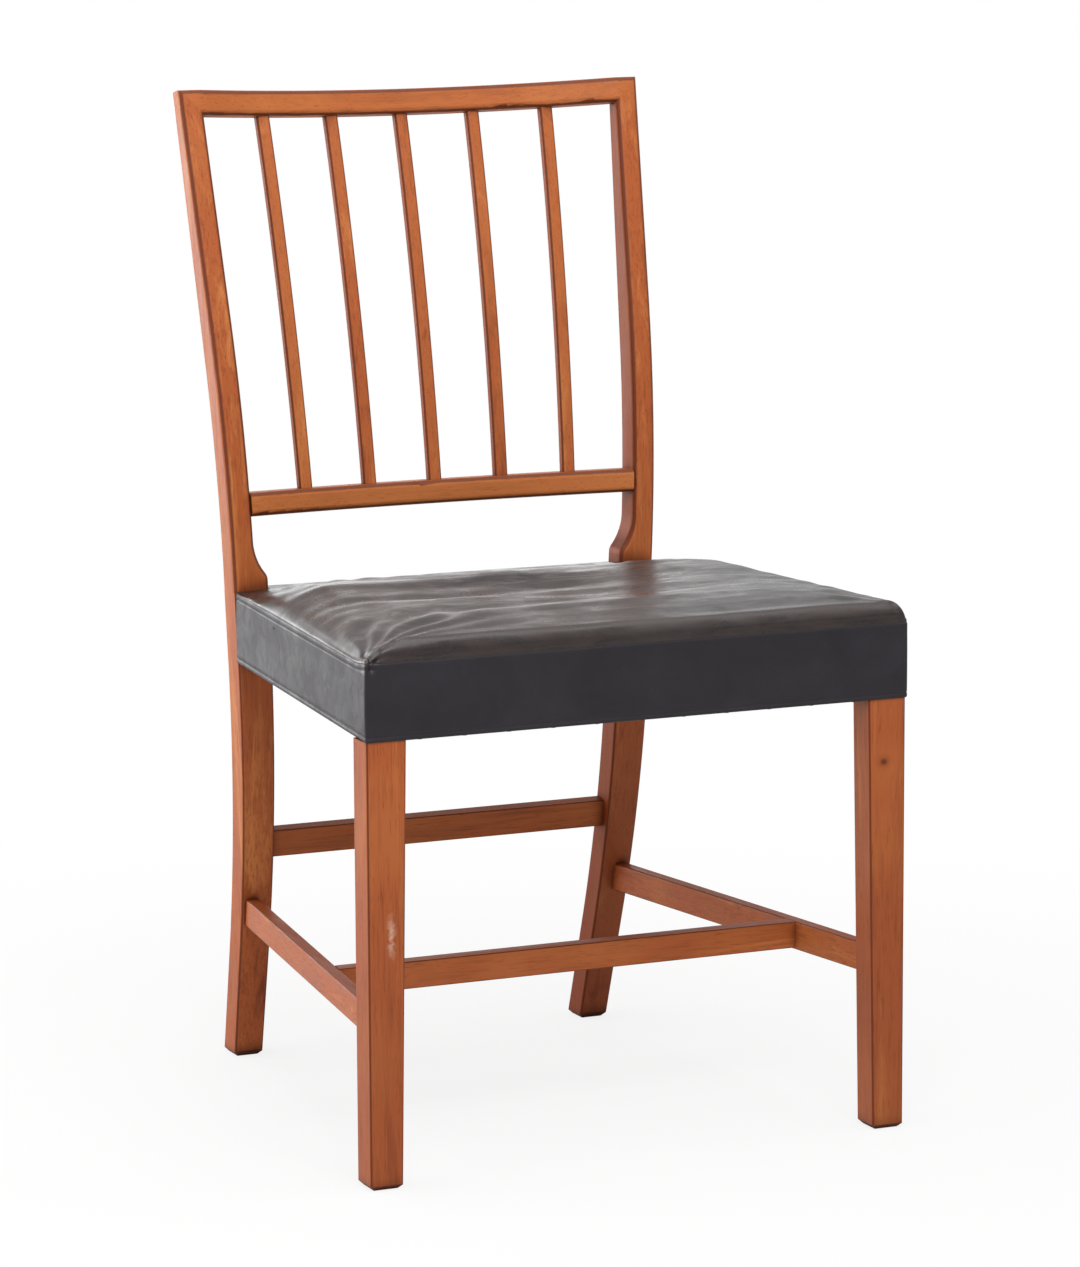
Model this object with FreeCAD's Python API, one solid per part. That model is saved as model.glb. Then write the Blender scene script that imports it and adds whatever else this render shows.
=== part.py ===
import FreeCAD, Part
import math
import os

V = FreeCAD.Vector
UP = V(0, 0, 1)
DOWN = V(0, 0, -1)

# Slat back dining chair, in millimetres. +Z is up, the front faces -Y, and the
# origin lies on the floor under the middle of the chair's box.

# Back posts, each leg and stile in one length of wood
post_height = 870.0
back_foot_width = 369.0
back_top_width = 442.0
post_foot_width = 27.0
post_seat_width = 33.0
post_foot_depth = 29.0
post_seat_depth = 28.0
leg_rake_degrees = 15.38
back_rake_degrees = 13.11
post_bend_radius = 1000.0
post_straight_above_seam = 12.0
stile_width = 21.3
ear_land = 9.0
ear_rise = 36.0
ear_nose_radius = 12.0

# Front legs, square above, tapered on the inside
front_width = 490.0
leg_top_width = 36.0
leg_foot_width = 29.0
leg_top_depth = 30.0
leg_foot_depth = 29.5
foot_chamfer = 4.0

# Back frame between the posts
crest_height = 22.5
crest_depth = 18.0
crest_bow = 27.0
crest_blend_radius = 50.0
lower_rail_top = 521.0
lower_rail_height = 21.0
lower_rail_depth = 23.0
lower_rail_bow = 18.0
slat_count = 5
slat_width = 12.5
slat_depth = 9.0
slat_setback = 5.0
slat_housing = 8.0
slat_pitch_top = 68.5
slat_pitch_bottom = 63.6
tongue_thickness = 4.0
tongue_width = 9.0
tongue_length = 12.0

# Stretchers
side_stretcher_top = 153.5
side_stretcher_height = 25.0
side_stretcher_thickness = 12.0
side_stretcher_inset = 4.0
cross_stretcher_set = 142.0
cross_stretcher_height = 23.5
cross_stretcher_thickness = 16.0
back_stretcher_top = 212.0
back_stretcher_height = 25.0
back_stretcher_thickness = 14.0
back_stretcher_setback = 11.0

# Seat frame
seat_run = 406.0
seat_seam = 434.0
seat_band_height = 62.0
rail_drop_below_seam = 8.0
seat_rail_thickness = 20.0
back_rail_setback = 3.0
corner_block_reach = 52.0
corner_block_height = 30.0
corner_block_drop = 6.0

# Upholstery
leather_thickness = 1.4
leather_turn_under = 16.0
crown_rise = 25.0
crown_back_rise = 4.0
crown_edge_radius = 18.0
crown_plateau_inset = 105.0
crown_edge_rise = 20.0
crown_corner_growth = 0.5
crown_edge_steps = 5
crown_top_steps = 3
seat_corner_radius = 1.5
webbing_width = 50.0
webbing_thickness = 1.4
webbing_pitch = 98.0
webbing_count = 3
webbing_ramp = 12.0
webbing_end_margin = 4.0
hessian_thickness = 0.8
cloth_thickness = 0.8
cloth_inset = 9.0
cloth_clearance = 1.0

# Tacks and screws
tack_head_radius = 2.6
tack_head_thickness = 0.8
tack_shank = 1.2
tack_length = 8.0
tack_pitch = 42.0
leather_tack_inset = 5.0
cloth_tack_inset = 13.0
tack_margin = 12.0
webbing_tack_spread = 28.0
webbing_tack_inset = 10.0
screw_radius = 1.9
screw_head_radius = 3.7
screw_head_thickness = 2.2
screw_bite = 14.0
screw_seat = 9.0

# Edges and fits
moulding_radius = 5.0
back_arris_radius = 3.0
arris_radius = 2.5
slat_arris_radius = 2.5
bar_arris_radius = 1.5
tenon_length = 11.0
tenon_shoulder = 4.0
stub_tenon_length = 7.0
joint_fit = 0.1
leather_fit = 0.1
soft_fit = 0.3
layer_gap = 0.05
tack_fit = 0.05
waste = 40.0

# Places worked out from the sizes above
leather_wrap = leather_thickness + leather_fit
seat_bottom = seat_seam - seat_band_height
rail_bottom = seat_bottom + leather_wrap
rail_top = seat_seam - rail_drop_below_seam
front_half = front_width / 2
post_lean = (back_top_width - back_foot_width) / 2 / post_height


def outer_x(z):
    """Half the width over the back posts at a height."""
    return back_foot_width / 2 + post_lean * z


class BentFace:
    """A post's front or back face seen from the side: upright at the seat, bent back above and below."""

    def __init__(self, seat_y, foot_y, top_y):
        self.seat_y = seat_y
        self.foot = V(0, foot_y, 0)
        self.top = V(0, top_y, post_height)
        self.low_start = V(0, seat_y, seat_bottom)
        self.high_start = V(0, seat_y, seat_seam + post_straight_above_seam)
        self.low_mid, self.low_end = self.bend(self.low_start, self.foot)
        self.high_mid, self.high_end = self.bend(self.high_start, self.top)
        rise = self.top - self.high_end
        self.over = self.top + rise * (waste / rise.Length)

    def bend(self, start, end):
        """Middle and end of the arc that leaves start upright and runs straight on to end."""
        centre = start + V(0, post_bend_radius, 0)
        reach = end - centre
        way = math.copysign(1, reach.z)
        end_angle = math.atan2(reach.z, reach.y) + way * math.acos(post_bend_radius / reach.Length)
        points = []
        for angle in ((end_angle + way * math.pi) / 2, end_angle):
            points.append(centre + V(0, math.cos(angle), math.sin(angle)) * post_bend_radius)
        return points

    def y_at(self, z):
        """Where the face stands at a height."""
        if self.low_start.z <= z <= self.high_start.z:
            return self.seat_y
        start, end, tip = self.high_start, self.high_end, self.top
        if z < self.low_start.z:
            start, end, tip = self.low_start, self.low_end, self.foot
        if abs(z - start.z) < abs(end.z - start.z):
            return self.seat_y + post_bend_radius - math.sqrt(post_bend_radius ** 2 - (z - start.z) ** 2)
        return end.y + (tip.y - end.y) * (z - end.z) / (tip.z - end.z)

    def slope_at(self, z):
        """How far the face goes back for each millimetre up."""
        return self.y_at(z + 0.5) - self.y_at(z - 0.5)

    def edges(self):
        """The face's line from foot to above the top."""
        return [line(self.foot, self.low_end),
                Part.Arc(self.low_end, self.low_mid, self.low_start).toShape(),
                line(self.low_start, self.high_start),
                Part.Arc(self.high_start, self.high_mid, self.high_end).toShape(),
                line(self.high_end, self.over)]

    def moved(self, distance):
        """The same face further back."""
        return BentFace(self.seat_y + distance, self.foot.y + distance, self.top.y + distance)


def line(a, b):
    return Part.LineSegment(a, b).toShape()


def face_of(edges):
    return Part.Face(Part.Wire(Part.__sortEdges__(edges)))


def prism(points, sweep):
    return Part.Face(Part.makePolygon(points + [points[0]])).extrude(sweep)


def box(low, high):
    size = high - low
    return Part.makeBox(size.x, size.y, size.z, low)


def cut_by(shape, others):
    for other in others:
        shape = shape.cut(other)
    return shape


def group(solids):
    return Part.makeCompound(solids)


def chosen_edges(shape, wanted):
    """The edges that are wanted, judged by themselves and their middle points."""
    chosen = []
    for edge in shape.Edges:
        middle = edge.valueAt((edge.FirstParameter + edge.LastParameter) / 2)
        if wanted(edge, middle):
            chosen.append(edge)
    return chosen


def rises(edge):
    """True of an edge that runs more up than across."""
    ends = [edge.valueAt(edge.FirstParameter), edge.valueAt(edge.LastParameter)]
    run = ends[1] - ends[0]
    return abs(run.z) > max(abs(run.x), abs(run.y))


def set_back(run, angle):
    """How far a post goes back over a run that starts upright, bends to an angle and goes on straight."""
    bend_rise = post_bend_radius * math.sin(angle)
    return post_bend_radius * (1 - math.cos(angle)) + (run - bend_rise) * math.tan(angle)


# The rake of the back sets how deep the chair is, and so where its middle is
rake = math.radians(back_rake_degrees)
post_foot_set = set_back(seat_bottom, math.radians(leg_rake_degrees))
post_top_set = set_back(post_height - seat_seam - post_straight_above_seam, rake)
rounded_off = back_arris_radius * (math.sin(rake) + math.cos(rake) - 1)
crest_back = post_top_set + (crest_bow + crest_depth) * math.cos(rake) - rounded_off
foot_back = post_foot_set + post_foot_depth
overall_depth = leather_wrap + seat_run + max(crest_back, foot_back)
leg_front = -overall_depth / 2 + leather_wrap
post_front = leg_front + seat_run
front_face = BentFace(post_front, post_front + post_foot_set, post_front + post_top_set)
stile_top_depth = crest_depth / math.cos(rake)
back_face = BentFace(post_front + post_seat_depth,
                     post_front + post_foot_set + post_foot_depth,
                     post_front + post_top_set + stile_top_depth)


def mirrored(shape):
    return shape.mirror(V(0, 0, 0), V(1, 0, 0))


def inner_leg_x(z):
    """Half the width between the back legs at a height below the seat."""
    foot = outer_x(0) - post_foot_width
    seat = outer_x(seat_seam) - post_seat_width
    return foot + (seat - foot) * z / seat_seam


def post_front_view(outer, inner):
    """The right post's outline from the front, moved out by outer and in by inner."""
    reach = post_seat_width - stile_width
    sweep = 2 * math.atan(reach / ear_rise)
    cove_radius = ear_rise / math.sin(sweep) - ear_nose_radius
    along = V(post_lean, 0, 1).normalize()
    outward = V(along.z, 0, -along.x)
    land_z = seat_seam + ear_land
    land_top = V(outer_x(land_z) - post_seat_width - inner, 0, land_z)

    def turned(start, radius, angle, way):
        """Point on an arc that leaves start along the post and turns outward."""
        reached = along * math.sin(angle) + outward * (1 - math.cos(angle))
        return start + reached * (way * radius)

    cove_top = land_top + along * ear_rise + outward * reach
    nose_mid = turned(land_top, ear_nose_radius, sweep / 2, 1)
    nose_end = turned(land_top, ear_nose_radius, sweep, 1)
    cove_mid = turned(cove_top, cove_radius, sweep / 2, -1)
    seam_in = V(outer_x(seat_seam) - post_seat_width - inner, 0, seat_seam)
    foot_in = V(outer_x(0) - post_foot_width - inner, 0, 0)
    foot_out = V(outer_x(0) + outer, 0, 0)
    top_z = post_height + waste
    top_in = cove_top + along * ((top_z - cove_top.z) / along.z)
    top_out = V(outer_x(top_z) + outer, 0, top_z)
    return [line(foot_out, foot_in), line(foot_in, seam_in), line(seam_in, land_top),
            Part.Arc(land_top, nose_mid, nose_end).toShape(),
            Part.Arc(nose_end, cove_mid, cove_top).toShape(),
            line(cove_top, top_in), line(top_in, top_out), line(top_out, foot_out)]


def post_blank(front=0.0, back=0.0, outer=0.0, inner=0.0):
    """The right post before its edges are eased, with any of its faces moved out."""
    front_line = front_face.moved(-front)
    back_line = back_face.moved(back)
    ends = [line(front_line.over, back_line.over), line(back_line.foot, front_line.foot)]
    side = face_of(front_line.edges() + back_line.edges() + ends)
    side_prism = side.extrude(V(back_top_width + outer, 0, 0))
    front_prism = face_of(post_front_view(outer, inner)).extrude(V(0, 2 * overall_depth, 0))
    front_prism.translate(V(0, -overall_depth, 0))
    return side_prism.common(front_prism)


def eased_foot(leg, corners):
    """Takes off the sharp edge round the underside, whose corners run counter-clockwise."""
    for start, end in zip(corners, corners[1:] + corners[:1]):
        along = (end - start).normalize()
        outward = along.cross(V(0, 0, 1))
        first = start - along * waste
        wedge = [first - outward * foot_chamfer, first + outward * waste,
                 first + outward * waste + V(0, 0, waste + foot_chamfer)]
        leg = leg.cut(prism(wedge, along * ((end - start).Length + 2 * waste)))
    return leg


def eased_post(blank):
    """The right post: moulded above the seat, lightly eased and footed below."""
    size = overall_depth
    leg = blank.common(box(V(0, -size, -waste), V(size, size, seat_seam)))
    leg = leg.makeFillet(arris_radius, chosen_edges(leg, lambda edge, point: rises(edge)))
    inner, outer = outer_x(0) - post_foot_width, outer_x(0)
    front, back = front_face.foot.y, back_face.foot.y
    leg = eased_foot(leg, [V(inner, front, 0), V(outer, front, 0), V(outer, back, 0), V(inner, back, 0)])
    stile = blank.common(box(V(0, -size, seat_seam), V(size, size, post_height + 3 * waste)))

    def before_middle(point):
        z = min(point.z, post_height)
        return point.z < post_height and point.y < (front_face.y_at(z) + back_face.y_at(z)) / 2

    stile = stile.makeFillet(moulding_radius, chosen_edges(
        stile, lambda edge, point: rises(edge) and before_middle(point)))
    stile = stile.makeFillet(back_arris_radius, chosen_edges(
        stile, lambda edge, point: rises(edge) and not before_middle(point)))
    return leg.fuse(stile).removeSplitter()


# Directions of the raked top of the back: up along it, and square out of its back
rake_up = V(0, math.sin(rake), math.cos(rake))
rake_back = V(0, math.cos(rake), -math.sin(rake))
crest_corner = V(outer_x(post_height), front_face.top.y, post_height)
mitre_foot = crest_corner - rake_up * crest_height
mitre_foot.x = outer_x(mitre_foot.z) - stile_width


def mitre_waste(way, shift=0.0):
    """What lies above the right mitre, or below it, from a plane moved by shift along the rake."""
    slant = crest_corner - mitre_foot
    depth_run = rake_back - V(post_lean * math.sin(rake), 0, 0)
    top = crest_corner + rake_up * shift - depth_run * waste
    lift = rake_up * (way * 4 * waste)
    ends = [top + slant * 2, top - slant * 4]
    return prism([ends[0], ends[1], ends[1] + lift, ends[0] + lift], depth_run * (4 * waste))


def crest_tongue(grow=0.0):
    """Loose tongue across the right mitre, in the thick of the frame."""
    slant = (crest_corner - mitre_foot).normalize()
    across = slant.cross(rake_back) * (tongue_length / 2 + grow)
    half = slant * (tongue_width / 2 + grow)
    thick = rake_back * (tongue_thickness / 2 + grow)
    start = (crest_corner + mitre_foot) * 0.5 + rake_back * (crest_depth / 2) - thick
    return prism([start - across - half, start + across - half, start + across + half, start - across + half],
                 thick * 2)


def bow_radius(half_span, bow):
    return (half_span ** 2 + bow ** 2) / (2 * bow)


def bow_at(x, half_span, bow):
    """How far back a bowed front stands at x."""
    radius = bow_radius(half_span, bow)
    return bow - radius + math.sqrt(radius ** 2 - x ** 2)


def laid_on_posts(shape, z):
    """Turns a shape drawn upright at the origin square to the posts' front face at a height."""
    placed = shape.copy()
    placed.rotate(V(0, 0, 0), V(1, 0, 0), -math.degrees(math.atan(front_face.slope_at(z))))
    placed.translate(V(0, front_face.y_at(z), z))
    return placed


def moulded(bar, front_line, depth):
    """Rounds the long edges of a bar that is bowed in plan."""

    def runs_along(edge):
        return edge.BoundBox.ZLength < 0.01 and edge.BoundBox.XLength > 0.01

    def before_middle(point):
        return point.y < front_line(point.x) + depth / 2

    bar = bar.makeFillet(moulding_radius, chosen_edges(
        bar, lambda edge, point: runs_along(edge) and before_middle(point)))
    level = (bar.BoundBox.ZMin, bar.BoundBox.ZMax)

    def at_level(point):
        return min(abs(point.z - level[0]), abs(point.z - level[1])) < 0.01

    return bar.makeFillet(back_arris_radius, chosen_edges(
        bar, lambda edge, point: runs_along(edge) and at_level(point) and not before_middle(point)))


def crest_line(start_y, radius, half_length):
    """Right half of the crest's front or back from above: flat at the post, a blend, and the bow."""
    centre = V(0, start_y + crest_bow - radius, 0)
    blend_x = math.sqrt(crest_bow * (2 * (radius + crest_blend_radius) - crest_bow))
    blend_centre = V(blend_x, start_y + crest_blend_radius, 0)
    toward = (blend_centre - centre).normalize()
    meet = centre + toward * radius
    blend_way = (V(0, -1, 0) - toward).normalize()
    bow_way = (V(0, 1, 0) + toward).normalize()
    return [line(V(half_length, start_y, 0), V(blend_x, start_y, 0)),
            Part.Arc(V(blend_x, start_y, 0), blend_centre + blend_way * crest_blend_radius, meet).toShape(),
            Part.Arc(meet, centre + bow_way * radius, centre + V(0, radius, 0)).toShape()]


crest_half_span = outer_x(post_height) - stile_width
lower_rail_half_span = outer_x(lower_rail_top) - stile_width


def crest_blank():
    """The crest drawn upright with its top front edge at the origin, long enough to be mitred."""
    half_length = outer_x(post_height) + waste / 2
    radius = bow_radius(crest_half_span, crest_bow)
    half = crest_line(0, radius, half_length) + crest_line(crest_depth, radius + crest_depth, half_length)
    half.append(line(V(half_length, 0, 0), V(half_length, crest_depth, 0)))
    half.append(line(V(0, crest_bow, 0), V(0, crest_bow + crest_depth, 0)))
    right = face_of(half).extrude(V(0, 0, -crest_height))
    whole = right.fuse(mirrored(right)).removeSplitter()

    def front_line(x):
        return max(bow_at(x, crest_half_span, crest_bow), 0)

    return moulded(whole, front_line, crest_depth)


def lower_rail_blank():
    """The lower back rail between the posts' inner faces, drawn upright at the origin."""
    radius = bow_radius(lower_rail_half_span, lower_rail_bow)
    centre_y = lower_rail_bow - radius
    half_length = lower_rail_half_span + 1

    def arc(size):
        end = V(half_length, centre_y + math.sqrt(size ** 2 - half_length ** 2), 0)
        start = V(-end.x, end.y, 0)
        return start, end, Part.Arc(start, V(0, centre_y + size, 0), end).toShape()

    front_start, front_end, front_arc = arc(radius)
    back_start, back_end, back_arc = arc(radius + lower_rail_depth)
    outline = [front_arc, line(front_end, back_end), back_arc, line(back_start, front_start)]
    rail = face_of(outline).extrude(V(0, 0, -lower_rail_height))

    def front_line(x):
        return bow_at(x, lower_rail_half_span, lower_rail_bow)

    return moulded(rail, front_line, lower_rail_depth)


def lower_rail_tenon(grow=0.0):
    """Tenon on the right end of the lower back rail, in the rail's own upright frame."""
    low = V(lower_rail_half_span - tenon_shoulder, tenon_shoulder, tenon_shoulder - lower_rail_height)
    high = V(lower_rail_half_span + tenon_length, lower_rail_depth - 2 * tenon_shoulder, -tenon_shoulder)
    margin = V(grow, grow, grow)
    return box(low - margin, high + margin)


def slat(place, grow=0.0):
    """One slat, bent like the posts and let into crest and lower rail; place counts from the middle one."""
    low_x, high_x = place * slat_pitch_bottom, place * slat_pitch_top
    low_bow = bow_at(low_x, lower_rail_half_span, lower_rail_bow)
    high_bow = bow_at(high_x, crest_half_span, crest_bow)
    low = V(0, front_face.y_at(lower_rail_top) + low_bow + slat_setback, lower_rail_top)
    high = mitre_foot + rake_back * (high_bow + slat_setback)
    high.x = 0
    middle_z = (low.z + high.z) / 2
    middle = V(0, front_face.y_at(middle_z) + (low_bow + high_bow) / 2 + slat_setback, middle_z)
    circle = Part.Arc(low, middle, high).toShape().Curve
    centre, radius = circle.Center, circle.Radius

    def at(angle, size):
        return centre + V(0, -math.cos(angle), math.sin(angle)) * size

    extra = (slat_housing + grow) / radius
    start = math.atan2(low.z - centre.z, centre.y - low.y) - extra
    end = math.atan2(high.z - centre.z, centre.y - high.y) + extra
    faces = []
    for size in (radius + grow, radius - slat_depth - grow):
        faces.append([at(start, size), at((start + end) / 2, size), at(end, size)])
    outline = [Part.Arc(*points).toShape() for points in faces]
    outline += [line(faces[0][0], faces[1][0]), line(faces[0][2], faces[1][2])]
    width = slat_width + 2 * grow
    bar = face_of(outline).extrude(V(width, 0, 0))
    bar.translate(V(-width / 2, 0, 0))
    bar = bar.makeFillet(slat_arris_radius, chosen_edges(bar, lambda edge, point: rises(edge)))
    bar.rotate(V(0, 0, low.z), V(0, 1, 0), math.degrees(math.atan((high_x - low_x) / (high.z - low.z))))
    bar.translate(V(low_x, 0, 0))
    return bar


def leg_blank(grow=0.0):
    """The right front leg before its edges are eased."""
    foot_in, top_in = front_half - leg_foot_width - grow, front_half - leg_top_width - grow
    across = prism([V(foot_in, 0, 0), V(front_half + grow, 0, 0), V(front_half + grow, 0, rail_top),
                    V(top_in, 0, rail_top)], V(0, 2 * overall_depth, 0))
    across.translate(V(0, -overall_depth, 0))
    front = leg_front - grow
    back_foot, back_top = leg_front + leg_foot_depth + grow, leg_front + leg_top_depth + grow
    along = prism([V(0, front, 0), V(0, back_foot, 0), V(0, back_top, rail_top), V(0, front, rail_top)],
                  V(front_width, 0, 0))
    return along.common(across)


def eased_leg():
    """The right front leg, dressed to the taper of the seat where the leather covers it."""
    leg = leg_blank()
    leg = leg.makeFillet(arris_radius, chosen_edges(leg, lambda edge, point: rises(edge)))
    inner, back = front_half - leg_foot_width, leg_front + leg_foot_depth
    leg = eased_foot(leg, [V(inner, leg_front, 0), V(front_half, leg_front, 0),
                           V(front_half, back, 0), V(inner, back, 0)])
    corners = [V(half_at(leg_front), leg_front, seat_bottom), V(front_width, leg_front, seat_bottom),
               V(front_width, post_front, seat_bottom), V(half_at(post_front), post_front, seat_bottom)]
    outside = prism(corners, V(0, 0, seat_seam))
    return leg.cut(outside)


# Plan of the seat frame: a straight front, and sides that draw in to the posts
frame_back = post_front + post_seat_depth - back_rail_setback
taper = math.atan((front_half - outer_x(seat_bottom)) / seat_run)
side_back = V(-math.sin(taper), math.cos(taper), 0)
side_in = V(-math.cos(taper), -math.sin(taper), 0)


def half_at(y):
    """Half the width of the seat frame at a depth."""
    return front_half - math.tan(taper) * (y - leg_front)


def outline_points(inset):
    """Corners of the seat frame's plan, moved in."""
    front, back = leg_front + inset, frame_back - inset
    move = inset / math.cos(taper)
    front_x, back_x = half_at(front) - move, half_at(back) - move
    return [V(-front_x, front, 0), V(front_x, front, 0), V(back_x, back, 0), V(-back_x, back, 0)]


def rounded_outline(points, radius):
    """A closed line round the points, with every corner rounded."""
    edges, ends = [], []
    for before, corner, after in zip(points[-1:] + points[:-1], points, points[1:] + points[:1]):
        to_before, to_after = (before - corner).normalize(), (after - corner).normalize()
        half_angle = to_before.getAngle(to_after) / 2
        reach = radius / math.tan(half_angle)
        middle = corner + (to_before + to_after).normalize() * (radius / math.sin(half_angle) - radius)
        ends.append((corner + to_before * reach, middle, corner + to_after * reach))
    for this, following in zip(ends, ends[1:] + ends[:1]):
        edges.append(Part.Arc(*this).toShape())
        edges.append(line(this[2], following[0]))
    return Part.Wire(edges)


def seat_slab(inset, low, high, radius):
    """A flat slab in the seat's plan."""
    slab = Part.Face(rounded_outline(outline_points(inset), radius)).extrude(V(0, 0, high - low))
    slab.translate(V(0, 0, low))
    return slab


def crown(inset, drop):
    """The seat's crowned form above the seam, moved in and its top moved down."""
    steps = []
    for count in range(crown_edge_steps + 1):
        angle = math.pi / 2 * count / crown_edge_steps
        steps.append((crown_edge_radius * (1 - math.cos(angle)), crown_edge_rise * math.sin(angle)))
    for count in range(1, crown_top_steps + 1):
        share = count / crown_top_steps
        steps.append((crown_edge_radius + (crown_plateau_inset - crown_edge_radius) * share,
                      crown_rise - (crown_rise - crown_edge_rise) * (1 - share) ** 2))
    top_rise = crown_rise - drop
    rings = []
    for step_in, rise in steps:
        rise = rise * top_rise / crown_rise
        radius = seat_corner_radius - inset + step_in * crown_corner_growth
        ring = rounded_outline(outline_points(inset + step_in), radius)
        fall = rise * (1 - (crown_back_rise - drop) / top_rise)
        front = leg_front + inset + step_in
        ring.rotate(V(0, front, 0), V(1, 0, 0), -math.degrees(math.atan(fall / (frame_back - leg_front))))
        ring.translate(V(0, 0, seat_seam + rise))
        rings.append(ring)
    return Part.makeLoft(rings, True, True)


def plan_bar(start, end, inward, thickness, low, high, shrink=0.0, stretch=0.0):
    """A straight bar from start to end, with its outer face on that line; shrink makes it a tenon."""
    along = (end - start).normalize()
    first = start - along * stretch + inward * shrink + V(0, 0, low + shrink)
    last = end + along * stretch + inward * shrink + V(0, 0, low + shrink)
    across = inward * (thickness - 2 * shrink)
    return prism([first, last, last + across, first + across], V(0, 0, high - low - 2 * shrink))


def tenoned(bar, tenon, holders):
    """A bar cut to its shoulders, with its tenons left on."""
    return cut_by(bar, holders).fuse(tenon).removeSplitter()


def cylinder(start, way, length, radius):
    return Part.makeCylinder(radius, length, start, way)


def tack(point, way):
    """A cut tack driven at a point: a round head outside and a square shank going in."""
    head = cylinder(point, -way, tack_head_thickness, tack_head_radius)
    return head.fuse(shank(point, way, 0.0))


def shank(point, way, grow=tack_fit):
    half = tack_shank / 2 + grow
    far = point + way * (tack_length + grow)
    low, high = min(point.z, far.z), max(point.z, far.z)
    return box(V(point.x - half, point.y - half, low), V(point.x + half, point.y + half, high))


def spread(start, end, margin):
    """Even places from start to end, no wider apart than the tacks' pitch."""
    run = end - start
    length = run.Length - 2 * margin
    count = max(2, math.ceil(length / tack_pitch) + 1)
    way = run / run.Length
    return [start + way * (margin + length * step / (count - 1)) for step in range(count)]


def under_tacks(inset, z):
    """Places under the seat rails, in rows this far in from the frame's edge."""
    front_right, back_right = outline_points(inset)[1:3]
    leg_run = leg_top_depth - inset
    side_start = front_right + side_back * (leg_run / math.cos(taper))
    side_end = V(half_at(post_front) - inset / math.cos(taper), post_front, 0)
    back_end = V(inner_leg_x(seat_bottom), back_right.y, 0)
    leg_inner = V(front_half - leg_top_width, front_right.y, 0)
    places = spread(V(-leg_inner.x, leg_inner.y, 0), leg_inner, tack_margin)
    places += spread(V(-back_end.x, back_end.y, 0), back_end, tack_margin)
    for place in spread(side_start, side_end, tack_margin):
        places += [place, V(-place.x, place.y, 0)]
    return [V(place.x, place.y, z) for place in places]


def strap(start, run, across, crossings, first_over):
    """A webbing strap laced over and under what crosses it; crossings are distances along run."""
    length = run.Length
    way = run / length
    lift = webbing_thickness + layer_gap
    flat = webbing_width / 2 + layer_gap
    heights = [(0.0, 0.0)]
    for count, crossing in enumerate(crossings):
        if (count % 2 == 0) == first_over:
            heights += [(crossing - flat - webbing_ramp, 0.0), (crossing - flat, lift),
                        (crossing + flat, lift), (crossing + flat + webbing_ramp, 0.0)]
    heights.append((length, 0.0))
    below = [start + way * along + V(0, 0, height) for along, height in heights]
    above = [point + V(0, 0, webbing_thickness) for point in reversed(below)]
    band = prism(below + above, across * webbing_width)
    band.translate(across * (-webbing_width / 2))
    return band


def webbing():
    """Both sets of straps by name, with the places of their tacks."""
    straps, tacks = {}, []
    steps = [step - (webbing_count - 1) / 2 for step in range(webbing_count)]
    middle_y = (leg_front + frame_back) / 2
    first_y, last_y = leg_front + webbing_end_margin, frame_back - webbing_end_margin

    def tack_ends(start, end, across):
        way = (end - start).normalize()
        for point in (start + way * webbing_tack_inset, end - way * webbing_tack_inset):
            for side in (-1, 1):
                tacks.append(point + across * (side * webbing_tack_spread / 2) + V(0, 0, webbing_thickness))

    for count, step in enumerate(steps):
        start, end = V(step * webbing_pitch, first_y, rail_top), V(step * webbing_pitch, last_y, rail_top)
        crossings = [middle_y + other * webbing_pitch - first_y for other in steps]
        name = "long_webbing_%d" % (count + 1)
        straps[name] = strap(start, end - start, V(1, 0, 0), crossings, count % 2 == 0)
        tack_ends(start, end, V(1, 0, 0))
    for count, step in enumerate(steps):
        y = middle_y + step * webbing_pitch
        reach = half_at(y + webbing_width / 2) - webbing_end_margin
        start, end = V(-reach, y, rail_top), V(reach, y, rail_top)
        crossings = [reach + other * webbing_pitch for other in steps]
        name = "cross_webbing_%d" % (count + 1)
        straps[name] = strap(start, end - start, V(0, 1, 0), crossings, count % 2 == 1)
        tack_ends(start, end, V(0, 1, 0))
    return straps, tacks


def corner_block(corner, along_a, into_a, along_b, into_b):
    """A glued and screwed block between two rails: its solid, its screws and their holes.

    Each rail runs from the corner the way of along, and is drilled the way of into."""
    low = rail_top - corner_block_drop - corner_block_height
    base = V(corner.x, corner.y, low) - into_a * joint_fit - into_b * joint_fit
    block = prism([base, base + along_a * corner_block_reach, base + along_b * corner_block_reach],
                  V(0, 0, corner_block_height))
    screws, holes = [], []
    for along, into, share in ((along_a, into_a, 1 / 3), (along_b, into_b, 2 / 3)):
        start = V(corner.x, corner.y, low + corner_block_height * share) + along * (corner_block_reach / 2)
        seat = start - into * screw_seat
        head = cylinder(seat, -into, screw_head_thickness, screw_head_radius)
        screws.append(head.fuse(cylinder(seat, into, screw_seat + screw_bite, screw_radius)))
        holes.append(cylinder(seat, into, screw_seat + screw_bite + joint_fit, screw_radius + tack_fit))
        block = block.cut(cylinder(seat, -into, corner_block_reach, screw_head_radius + joint_fit))
    return block, screws, holes


# Blanks that everything else is cut to
right_post_blank = post_blank()
left_post_blank = mirrored(right_post_blank)
posts = [left_post_blank, right_post_blank]
right_leg_blank = leg_blank()
legs = [mirrored(right_leg_blank), right_leg_blank]


def eased_bar(bar):
    """Eases a straight bar's long edges."""
    least = bar.BoundBox.DiagonalLength / 2
    return bar.makeFillet(bar_arris_radius, chosen_edges(bar, lambda edge, point: edge.Length > least))


def bar_mortise(bar):
    return plan_bar(*bar, shrink=tenon_shoulder - joint_fit, stretch=joint_fit)


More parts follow.
